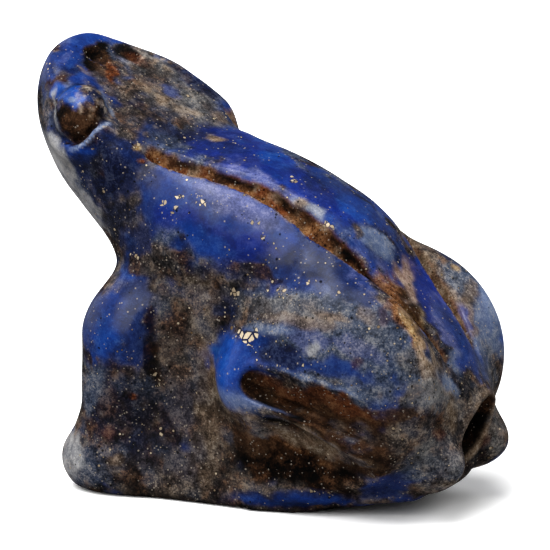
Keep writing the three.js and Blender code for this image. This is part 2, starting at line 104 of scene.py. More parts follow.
SKULL = dict(centre=(-5.5, 0, 11.5), size=(2.3, 2.05, 1.9), tilt=30)
THROAT = dict(start=(-4.35, 0, 10.75), end=(-2.15, 0, 8.55), radii=(2.65, 2.75))
FACE_POINT, FACE_SLOPE, FACE_ROLL = (-5.9, 0, 13.45), math.radians(29.5), math.radians(14.5)
CREASE_POINT, CREASE_SKEW, CREASE_SLOPE = (-2.35, 0, 11.25), 0.2, math.radians(40)
HAUNCH = dict(centre=(3.9, 2.85, 4.35), size=(2.95, 1.3, 3.05), tilt=31)
KNEE = dict(start=(1.25, 2.75, 4.25), end=(5.1, 2.15, 3.35), radii=(1.4, 1.3))
SHIN_HOLLOW = dict(start=(2.15, 4.3, 2.0), end=(4.75, 3.95, 1.3), radii=(1.4, 0.9))
SHIN_GROOVE = dict(start=(2.6, 4.1, 2.95), end=(5.3, 3.75, 2.2), radii=(0.16, 0.05))
FORELEG = dict(start=(-3.5, 2.15, 5.0), end=(-4.05, 2.35, 2.45), radii=(1.6, 1.0))
FOREFOOT = dict(centre=(-4.3, 2.2, 1.0), size=(1.6, 1.3, 1.3), tilt=0)
ELBOW_HOLLOW = dict(start=(-2.0, 3.7, 5.7), end=(-2.05, 3.85, 3.3), radii=(0.55, 0.5))
CHEST_HOLLOW = dict(start=(-5.6, 0, 5.4), end=(-5.9, 0, 0.6), radii=(0.5, 0.75))
BELLY = dict(centre=(1.95, 0, 0.65), size=(3.45, 3.05, 0.7), tilt=0)
HEEL = dict(centre=(6.35, 1.8, 1.9), size=(1.2, 0.75, 0.95), tilt=0)
TAIL = dict(centre=(6.6, 0, 3.2), size=(1.15, 1.15, 0.8), tilt=0)
CLEFT = dict(start=(8.3, 0, 2.2), end=(8.1, 0, 0.3), radii=(1.5, 1.25))
EYES = [
    dict(centre=(-5.32, -2.03, 11.83), axis=(-0.3, -0.87, 0.38)),
    dict(centre=(-5.1, 1.98, 11.9), axis=(-0.3, 0.87, 0.38)),
]
EYE_BALL_RADIUS, EYE_BALL_FLATNESS = 0.93, 1.2
EYE_LIP_RADIUS, EYE_LIP_THICKNESS = 1.12, 0.24
EYE_GROOVE_RADIUS, EYE_GROOVE_HALF_WIDTH = 1.0, 0.12
EYE_GROOVE_LOW, EYE_GROOVE_HIGH = 0.25, 0.8
NOSTRILS = [
    dict(centre=(-5.86, 0.1, 13.38), size=(0.42, 0.28, 0.34), tilt=30),
    dict(centre=(-5.3, 1.15, 13.45), size=(0.55, 0.3, 0.36), tilt=30),
]
NOSTRIL_TAIL = dict(start=(-5.7, 0.08, 13.3), end=(-5.05, -0.08, 12.86), radii=(0.17, 0.06))
BACK_GROOVE_PLACE, BACK_GROOVE_DEPTH = 2.02, 0.28
THIGH_GROOVE = dict(start=(1.58, 4.33), end=(6.9, 2.95))
THIGH_GROOVE_DEPTH = 0.45
BORE_RADIUS = 0.93
BORE_REAR, BORE_REAR_HEIGHT, BORE_FALL = 8.0, 2.72, 0.5 / 14.5
SOLE_END, SOLE_RISE = 2.15, 0.16
TAIL_START, TAIL_CURL = 6.2, 0.35


def fade(low, high, value):
    """from 0 at low to 1 at high, with a soft start and end"""
    t = np.clip((value - low) / (high - low), 0, 1)
    return t * t * (3 - 2 * t)


def join(a, b, blend):
    overlap = np.maximum(blend - np.abs(a - b), 0) / blend
    return np.minimum(a, b) - overlap * overlap * blend * 0.25


def keep(a, b, blend):
    return -join(-a, -b, blend)


def cut(shape, tool, blend):
    return keep(shape, -tool, blend)


def oval(x, y, z, centre, size, tilt):
    c, s = math.cos(math.radians(tilt)), math.sin(math.radians(tilt))
    dx, dy, dz = x - centre[0], y - centre[1], z - centre[2]
    u = (dx * c - dz * s, dy, dx * s + dz * c)
    near = np.sqrt(sum((a / r) ** 2 for a, r in zip(u, size)))
    far = np.sqrt(sum((a / r ** 2) ** 2 for a, r in zip(u, size)))
    return near * (near - 1) / np.maximum(far, 1e-6)


def limb(x, y, z, start, end, radii):
    """two balls of the given radii and the cone between them"""
    axis = [b - a for a, b in zip(start, end)]
    length2 = sum(a * a for a in axis)
    taper = radii[0] - radii[1]
    slant2 = length2 - taper * taper
    p = [x - start[0], y - start[1], z - start[2]]
    along = sum(a * b for a, b in zip(p, axis))
    past = along - length2
    side2 = sum((a * length2 - b * along) ** 2 for a, b in zip(p, axis))
    start2, end2 = along * along * length2, past * past * length2
    slope = math.copysign(taper * taper, taper) * side2
    at_end = np.sqrt(side2 + end2) / length2 - radii[1]
    at_start = np.sqrt(side2 + start2) / length2 - radii[0]
    between = (np.sqrt(side2 * slant2 / length2) + along * taper) / length2 - radii[0]
    result = np.where(np.sign(along) * slant2 * start2 < slope, at_start, between)
    return np.where(np.sign(past) * slant2 * end2 > slope, at_end, result)


def rounded_block(x, y, z, centre, size, rounding):
    q = [np.abs(a - c) - s + rounding for a, c, s in zip((x, y, z), centre, size)]
    outside = np.sqrt(sum(np.maximum(a, 0) ** 2 for a in q))
    return outside + np.minimum(np.maximum(np.maximum(q[0], q[1]), q[2]), 0) - rounding


def above_face(x, y, z):
    lift = (x - FACE_POINT[0]) * math.sin(FACE_SLOPE) + (z - FACE_POINT[2]) * math.cos(FACE_SLOPE)
    return lift * math.cos(FACE_ROLL) - y * math.sin(FACE_ROLL)


def hind_foot(x, side, z):
    width = side - 3.05 + 0.2 * (x - 0.75)
    height = z - 0.57 - 0.1 * (x - 0.75)
    return keep(keep(width, height, 0.45), keep(0.75 - x, x - 6.1, 0.3), 0.3)


def thigh_groove(x, side, z):
    """how far the groove between thigh and shin sinks the surface"""
    start, end = THIGH_GROOVE["start"], THIGH_GROOVE["end"]
    dx, dz = end[0] - start[0], end[1] - start[1]
    length = math.hypot(dx, dz)
    along = ((x - start[0]) * dx + (z - start[1]) * dz) / length
    across = ((z - start[1]) * dx - (x - start[0]) * dz) / length
    across = across - 0.1 * np.sin(math.pi * np.clip(along / length, 0, 1))
    half_width = 0.52 + 0.06 * np.clip(along, 0, 2.5) + 0.025 * np.sin(2.3 * along)
    reach = np.hypot(np.minimum(along, 0), across)
    inside = 1 - fade(half_width - 0.14, half_width + 0.05, reach)
    depth = 0.36 + 0.3 * np.clip(-across / half_width, -1, 1)
    return depth * inside * (1 - fade(3.0, 5.4, along)) * fade(2.2, 2.8, side)


def across_back_groove(x, y):
    """place across a groove of the back, more than zero on the outer side"""
    shift = -0.15 * fade(3.5, 5.5, x)
    wobble = 0.025 * np.sin(2.3 * x + 1) + 0.008 * np.sin(7.7 * x)
    return np.abs(y - shift) - (BACK_GROOVE_PLACE - 1.3 * fade(3.9, 8.0, x) + wobble)


def back_grooves(x, y, z):
    """how far the two grooves along the back sink the surface"""
    offset = np.abs(across_back_groove(x, y))
    half_width = 0.25 + 0.05 * fade(2.5, 4.5, x) - 0.1 * fade(5.5, 6.8, x)
    inside = 1 - fade(half_width - 0.12, half_width + 0.06, offset)
    begin = fade(-0.4, 0.0, x - CREASE_POINT[0] - CREASE_SKEW * y)
    finish = 1 - fade(5.8, 7.2, x)
    return BACK_GROOVE_DEPTH * inside * begin * finish * fade(3.6, 4.4, z)


def add_eye(shape, x, y, z, centre, axis):
    """a low lip, the ball in it and the groove turned round the ball's rear"""
    far_off = 9
    size = math.hypot(*axis)
    p = [x - centre[0], y - centre[1], z - centre[2]]
    height = sum(a * b for a, b in zip(p, axis)) / size
    distance = np.sqrt(sum(a * a for a in p))
    radius = np.sqrt(np.maximum(distance ** 2 - height ** 2, 0))
    ring = np.hypot(radius - EYE_LIP_RADIUS, height) - EYE_LIP_THICKNESS
    lip = keep(ring, above_face(x, y, z) + 0.2, 0.3)
    result = join(shape, np.where(height > -0.6, lip, far_off), 0.45)
    ball = np.hypot(radius, EYE_BALL_FLATNESS * height) - EYE_BALL_RADIUS
    result = join(result, np.where(height > -0.6, ball, far_off), 0.08)
    rear = fade(-0.6, 0.4, p[0] / np.maximum(distance, 0.3))
    above = height - np.clip(height, EYE_GROOVE_LOW, EYE_GROOVE_HIGH)
    groove = np.hypot(radius - EYE_GROOVE_RADIUS, above) - EYE_GROOVE_HALF_WIDTH * rear + 0.03
    return cut(result, np.where(height > -0.3, groove, far_off), 0.07)


def outside_bore(x, y, z):
    """distance from the wall of the bore, which falls a little towards the chest"""
    middle = BORE_REAR_HEIGHT - BORE_FALL * (BORE_REAR - x)
    return np.hypot(y, z - middle) - BORE_RADIUS


def trunk(x, y, z):
    shape = join(oval(x, y, z, **RUMP), oval(x, y, z, **LOIN), 1.5)
    shape = join(shape, oval(x, y, z, **SHOULDER), 1.5)
    shape = join(shape, oval(x, y, z, **CHEST), 1.2)
    shape = join(shape, rounded_block(x, y, z, **BLOCK), 1.8)
    flank = FLANK_HALF_WIDTH + FLANK_FLARE * np.clip(1 - z / 2.5, 0, 1) ** 2
    return keep(shape, np.abs(y) - flank, FLANK_ROUND)


def head(x, y, z):
    shape = join(limb(x, -y, z, **LEFT_JAW), limb(x, y, z, **RIGHT_JAW), 0.5)
    shape = join(shape, oval(x, y, z, **SKULL), 0.6)
    shape = join(shape, limb(x, y, z, **THROAT), 0.8)
    return keep(shape, above_face(x, y, z), 0.5)


def frog(x, y, z):
    """distance to the stone's surface, in millimetres, negative inside"""
    side = np.abs(y)
    shape = join(trunk(x, y, z), head(x, y, z), 2.0)
    shape = join(shape, oval(x, side, z, **HAUNCH), 1.8)
    shape = join(shape, limb(x, side, z, **KNEE), 0.5)
    behind = (x - CREASE_POINT[0] - CREASE_SKEW * y) * math.cos(CREASE_SLOPE)
    behind = behind - (z - CREASE_POINT[2]) * math.sin(CREASE_SLOPE)
    edge_round = 0.5 + 0.5 * fade(-0.6, 0.6, behind)
    shape = cut(shape, keep(-above_face(x, y, z), behind, 0.5), edge_round)
    foreleg = join(limb(x, side, z, **FORELEG), oval(x, side, z, **FOREFOOT), 0.9)
    shape = join(shape, foreleg, 1.0)
    shape = join(shape, oval(x, y, z, **BELLY), 0.5)
    shape = join(shape, oval(x, side, z, **HEEL), 0.6)
    shape = join(shape, oval(x, y, z, **TAIL), 0.7)
    shape = cut(shape, limb(x, side, z, **SHIN_HOLLOW), 0.18)
    shape = join(shape, hind_foot(x, side, z), 0.2)
    shape = cut(shape, limb(x, side, z, **SHIN_GROOVE), 0.15)
    shape = shape + thigh_groove(x, side, z)
    shape = cut(shape, limb(x, side, z, **ELBOW_HOLLOW), 0.4)
    shape = cut(shape, limb(x, y, z, **CHEST_HOLLOW), 0.5)
    shape = shape + back_grooves(x, y, z)
    for eye in EYES:
        shape = add_eye(shape, x, y, z, **eye)
    for nostril in NOSTRILS:
        shape = cut(shape, oval(x, y, z, **nostril), 0.1)
    shape = cut(shape, limb(x, y, z, **NOSTRIL_TAIL), 0.06)
    shape = cut(shape, limb(x, y, z, **CLEFT), 0.3)
    lift = SOLE_RISE * np.maximum(x - SOLE_END, 0) + TAIL_CURL * np.maximum(x - TAIL_START, 0) ** 2
    shape = keep(shape, lift - z, 0.22)
    return cut(shape, outside_bore(x, y, z), 0.1)


def field(points):
    return frog(points[:, 0], points[:, 1], points[:, 2])


def slope_of(points, step=0.01):
    slope = np.zeros_like(points)
    for axis in range(3):
        shift = np.zeros(3)
        shift[axis] = step
        slope[:, axis] = (field(points + shift) - field(points - shift)) / (2 * step)
    return slope


# The stone's skin: a fine closed net of small squares where the distance is
# zero. Only cells close to the surface are worked out in full.
CELL = 0.094
COARSE = 4
COARSE_REACH = 2.2
NET_LOW = np.array([-8.4, -5.2, -0.63])
NET_HIGH = np.array([8.5, 5.2, 14.7])

counts = (np.ceil((NET_HIGH - NET_LOW) / CELL / COARSE).astype(int) + 1) * COARSE + 1
grid_axes = [NET_LOW[axis] + CELL * np.arange(counts[axis]) for axis in range(3)]
coarse_grid = np.meshgrid(*[a[::COARSE] for a in grid_axes], indexing="ij")
coarse_values = frog(*coarse_grid)
near = np.abs(coarse_values) < CELL * COARSE * COARSE_REACH
blocks = np.zeros(np.array(coarse_values.shape) - 1, bool)
for corner in np.ndindex(2, 2, 2):
    window = tuple(slice(c, c + n) for c, n in zip(corner, blocks.shape))
    blocks |= near[window]
values = np.repeat(np.repeat(np.repeat(coarse_values, COARSE, 0), COARSE, 1), COARSE, 2)
values = values[:counts[0], :counts[1], :counts[2]].copy()
fine = np.zeros(values.shape, bool)
for corner in np.ndindex(COARSE + 1, COARSE + 1, COARSE + 1):
    window = tuple(slice(c, c + COARSE * (n - 1) + 1, COARSE) for c, n in zip(corner, blocks.shape))
    fine[window] |= blocks
where = np.nonzero(fine)
values[where] = frog(*[grid_axes[axis][where[axis]] for axis in range(3)])

inside = values < 0
cells = tuple(n - 1 for n in values.shape)
inside_count = np.zeros(cells, np.int8)
for corner in np.ndindex(2, 2, 2):
    inside_count += inside[tuple(slice(c, c + n) for c, n in zip(corner, cells))]
crossed = (inside_count > 0) & (inside_count < 8)
cell_point = np.full(cells, -1)
cell_point[crossed] = np.arange(crossed.sum())
where = np.stack(np.nonzero(crossed), 1)
total = np.zeros((len(where), 3))
hits = np.zeros(len(where))
for axis in range(3):
    for offset in np.ndindex(2, 2):
        low = np.insert(np.array(offset), axis, 0)
        high = np.insert(np.array(offset), axis, 1)
        a = values[tuple((where + low).T)]
        b = values[tuple((where + high).T)]
        hit = (a < 0) != (b < 0)
        place = (where + low).astype(float)
        place[:, axis] += np.where(hit, a / np.where(hit, a - b, 1), 0)
        total[hit] += place[hit]
        hits[hit] += 1
points = NET_LOW + CELL * total / hits[:, None]

quads = []
for axis in range(3):
    first, second = (axis + 1) % 3, (axis + 2) % 3
    edges = np.stack(np.nonzero(np.diff(inside.astype(np.int8), axis=axis)), 1)
    around = []
    for a, b in ((0, 0), (1, 0), (1, 1), (0, 1)):
        at = edges.copy()
        at[:, first] -= a
        at[:, second] -= b
        around.append(cell_point[tuple(at.T)])
    around = np.stack(around, 1)
    outward = ~inside[tuple(edges.T)]
    around[outward] = around[outward][:, ::-1]
    quads.append(around)
quads = np.concatenate(quads)

for _ in range(2):
    slope = slope_of(points)
    steep = np.maximum((slope ** 2).sum(1), 0.05)
    move = np.clip(field(points) / steep, -CELL / 2, CELL / 2)
    points = points - slope * move[:, None]
normals = slope_of(points)
normals /= np.linalg.norm(normals, axis=1, keepdims=True) + 1e-9

# Wear on the stone: hollows that the earth has kept, worn high places, and
# small pits where grains have fallen out. Noise here is worked out from the
# place in the stone, so it is the same on every run.
def scrambled(cell, seed):
    """a large whole number for each cell of a lattice"""
    h = (cell[:, 0] * 73856093) ^ (cell[:, 1] * 19349663) ^ (cell[:, 2] * 83492791)
    h = h ^ (seed * 2654435)
    return (h ^ (h >> 13)) * 1274126177 & 0x7FFFFFFF


def lattice_noise(p, scale, seed):
    """smooth noise from 0 to 1, with lumps of about the given size"""
    q = p / scale + seed * 17.31
    base = np.floor(q).astype(np.int64)
    t = q - base
    t = t * t * (3 - 2 * t)
    result = np.zeros(len(p))
    for corner in np.ndindex(2, 2, 2):
        h = scrambled(base + np.array(corner), seed)
        h = (h ^ (h >> 16)) & 0xFFFF
        weight = np.prod(np.where(np.array(corner) == 1, t, 1 - t), axis=1)
        result += weight * h / 0xFFFF
    return result


# each layer of noise is turned, so that no layer shows the lattice's own lines
LAYER_TURN = np.array(Matrix.Rotation(0.9, 3, Vector((1, 2, 3))))


def layered_noise(p, scale, seed, layers=4):
    result, weight, size = np.zeros(len(p)), 0.0, 1.0
    for layer in range(layers):
        p = p @ LAYER_TURN
        result += size * lattice_noise(p, scale * size, seed + layer)
        weight += size
        size *= 0.55
    return result / weight


def wave_noise(p, length, seed, waves=28):
    """smooth noise around 0, the sum of waves that run in all directions"""
    draw = np.random.default_rng(seed)
    result = np.zeros(len(p))
    for _ in range(waves):
        direction = draw.normal(size=3)
        direction *= 2 * math.pi / (length * draw.uniform(0.7, 1.9) * np.linalg.norm(direction))
        result += np.sin(p @ direction + draw.uniform(0, 2 * math.pi))
    return result / math.sqrt(waves)


def grain_cells(p, scale, seed):
    """distance to the nearest of scattered seeds, and that seed's number"""
    q = p / scale
    base = np.floor(q).astype(np.int64)
    best = np.full(len(p), 9.0)
    number = np.zeros(len(p))
    for corner in np.ndindex(3, 3, 3):
        cell = base + np.array(corner) - 1
        h = scrambled(cell, seed)
        place = np.stack([(h >> s) % 1024 / 1024 for s in (0, 7, 14)], 1)
        distance = np.linalg.norm(cell + place - q, axis=1)
        closer = distance < best
        best = np.where(closer, distance, best)
        number = np.where(closer, (h >> 5) % 997 / 997, number)
    return best, number


side = np.abs(points[:, 1])
in_back_groove = back_grooves(*points.T) / BACK_GROOVE_DEPTH
in_thigh_groove = thigh_groove(points[:, 0], side, points[:, 2]) / THIGH_GROOVE_DEPTH
closed_near = np.clip(1 - field(points + normals * 0.3) / 0.3, 0, 1)
closed_wide = np.clip(1 - field(points + normals * 1.0) / 1.0, 0, 1)
from_bore = outside_bore(*points.T)
in_bore = fade(0.14, -0.02, from_bore)
in_hollow = 1.1 * fade(0.25, 0.8, closed_near) + 0.9 * fade(0.3, 0.75, closed_wide)
earth = np.clip(in_back_groove + in_thigh_groove + in_hollow + in_bore, 0, 1)

# how much the stone bulges at each place, from the distances just around it
SPREAD = 0.3
bulge = -6 * field(points)
for step in SPREAD * np.vstack([np.eye(3), -np.eye(3)]):
    bulge += field(points + step)
bulge /= SPREAD ** 2

SWELL_HEIGHT, PIT_DEPTH, SPECK_DEPTH, EARTH_HEIGHT = 0.05, 0.045, 0.02, 0.06
rough_noise = layered_noise(points, 0.35, 3, 3)
pit_distance, pit_number = grain_cells(points, 0.42, 5)
pit = fade(0.3, 0.08, pit_distance) * (pit_number > 0.72)
speck_distance, speck_number = grain_cells(points, 0.2, 8)
speck = fade(0.42, 0.15, speck_distance) * (speck_number > 0.8)
swell = layered_noise(points, 1.6, 11, 3) - 0.5
relief = SWELL_HEIGHT * (swell - 0.25) - PIT_DEPTH * pit * (0.4 + earth) - SPECK_DEPTH * speck
relief += EARTH_HEIGHT * earth * (rough_noise - 0.6)
on_ground = fade(0.5, 0.05, points[:, 2])
skin = points + normals * (relief * (1 - on_ground))[:, None]
skin += np.array([AXIS_SHIFT, 0, 0])
skin = np.clip(skin, *[np.array(corner) / MM for corner in cad_box])

# The colours of the stone. Each kind has a body colour, the colours of its
# dark and its pale flecks, how strongly they show, how dull its skin is and
# how much pyrite it holds. Colours are read from the lit stone, and the light
# is so strong that the paper bleaches, so the paint is darker than what is seen.
SHEEN = 0.004
PAINT_SHARE = 0.62


def colour(red, green, blue):
    """linear paint for a colour seen on the stone, less the sheen on it"""
    srgb = np.array([red, green, blue]) / 255
    linear = np.where(srgb <= 0.04045, srgb / 12.92, ((srgb + 0.055) / 1.055) ** 2.4)
    return np.maximum(linear - SHEEN, 0.0008) * PAINT_SHARE


KINDS = {
    "blue": ((13, 50, 126), (6, 20, 66), (50, 90, 164), 0.4, 0.0, 0.14),
    "royal": ((12, 40, 128), (7, 14, 62), (58, 80, 172), 0.35, 0.0, 0.14),
    "bright": ((18, 72, 164), (7, 34, 108), (66, 122, 200), 0.35, 0.0, 0.14),
    "deep": ((16, 34, 84), (6, 12, 34), (48, 66, 118), 0.5, 0.25, 0.2),
    "navy": ((13, 22, 54), (5, 7, 13), (62, 70, 98), 0.8, 0.2, 0.5),
    "lilac": ((84, 92, 146), (24, 36, 86), (150, 150, 190), 0.7, 0.1, 0.3),
    "slate": ((70, 82, 106), (18, 24, 38), (144, 146, 154), 0.9, 0.3, 0.4),
    "cloud": ((116, 134, 170), (40, 64, 128), (192, 194, 204), 0.5, 0.15, 0.1),
    "ash": ((106, 105, 106), (42, 40, 40), (170, 166, 160), 1.0, 0.5, 0.3),
    "crust": ((84, 77, 74), (18, 16, 15), (158, 142, 126), 1.0, 0.6, 0.4),
    "soot": ((32, 31, 34), (7, 6, 7), (88, 82, 78), 0.9, 0.8, 0.3),
    "earth": ((68, 46, 32), (16, 10, 7), (112, 84, 60), 0.6, 0.85, 0.06),
    "clay": ((138, 90, 54), (40, 20, 12), (196, 146, 98), 1.0, 0.85, 0.12),
    "shade": ((9, 6, 5), (2, 1, 1), (34, 24, 18), 0.7, 1.0, 0.0),
    "tan": ((152, 126, 100), (64, 50, 40), (212, 192, 168), 0.9, 0.5, 0.3),
    "cream": ((200, 180, 158), (112, 90, 76), (232, 216, 196), 0.7, 0.4, 0.2),
    "gold": ((196, 156, 96), (90, 66, 34), (240, 214, 160), 0.8, 0.3, 1.0),
    "rust": ((126, 66, 36), (38, 18, 11), (178, 116, 74), 0.9, 0.8, 0.2),
    "plum": ((70, 40, 60), (30, 18, 32), (112, 84, 96), 0.8, 0.3, 0.2),
    "pink": ((196, 160, 140), (110, 80, 70), (234, 208, 188), 0.8, 0.4, 0.2),
    "pale": ((176, 176, 178), (92, 94, 104), (220, 218, 216), 0.6, 0.4, 0.1),
}
GRAIN, DULL, PYRITE = 9, 10, 11
KIND_ROWS = {
    name: np.concatenate([colour(*body), colour(*dark), colour(*pale), [grain, dull, pyrite]])
    for name, (body, dark, pale, grain, dull, pyrite) in KINDS.items()
}

# where each place of the stone shows in the photograph, and whether it does
relative = points - np.array([0.0, 0.0, AIM_HEIGHT])
depth = relative @ view_forward + CAMERA_DISTANCE
pixels_here = PIXELS_PER_MM * CAMERA_DISTANCE / depth
pixel_x = AIM_PIXEL[0] + relative @ view_right * pixels_here
pixel_y = AIM_PIXEL[1] - relative @ view_up * pixels_here
facing = fade(-0.1, 0.12, -(normals @ view_forward))

wide_drift = [0.35 * wave_noise(points, 1.6, seed) for seed in (21, 31)]
fine_drift = [0.35 * wave_noise(points, 0.5, seed) for seed in (36, 39)]
ragged = 0.14 * wave_noise(points, 1.1, 41) + 0.1 * wave_noise(points, 0.5, 42)
ragged += 0.08 * wave_noise(points, 0.25, 43)

stone = np.tile(KIND_ROWS["blue"], (len(points), 1))


def lay(kind, amount):
    """so much of another kind laid over the stone"""
    stone[:] += (KIND_ROWS[kind] - stone) * np.clip(amount, 0, 1)[:, None]


def patches(length, seed, low, high):
    """scattered patches about so long, none below low and full above high"""
    return fade(low, high, wave_noise(points, length, seed))


# broad areas over the whole stone: blue above, weathered crust low on the
# flanks, lilac haze and slate between; each with its strength, the noise it
# begins and is full at, the noise's size, seed and layers
BROAD_AREAS = [
    ("bright", 0.8, 0.5, 0.66, 2.4, 51, 3),
    ("lilac", 0.85, 0.54, 0.66, 1.7, 61, 4),
    ("slate", 0.9, 0.52, 0.62, 1.9, 71, 5),
    ("navy", 0.9, 0.55, 0.63, 1.5, 76, 5),
]
for kind, strength, begin, full, size, seed, layers in BROAD_AREAS:
    area = layered_noise(points, size, seed, layers)
    lay(kind, strength * fade(begin, full, area))
low_down = fade(9.0, 2.0, points[:, 2])
crusted = layered_noise(points, 2.2, 81, 5) + 0.16 * low_down + 0.2 * closed_wide - 0.07
lay("crust", fade(0.52, 0.6, crusted))
sooty = layered_noise(points, 1.1, 86, 4) + 0.08 * low_down
lay("soot", fade(0.6, 0.68, sooty))

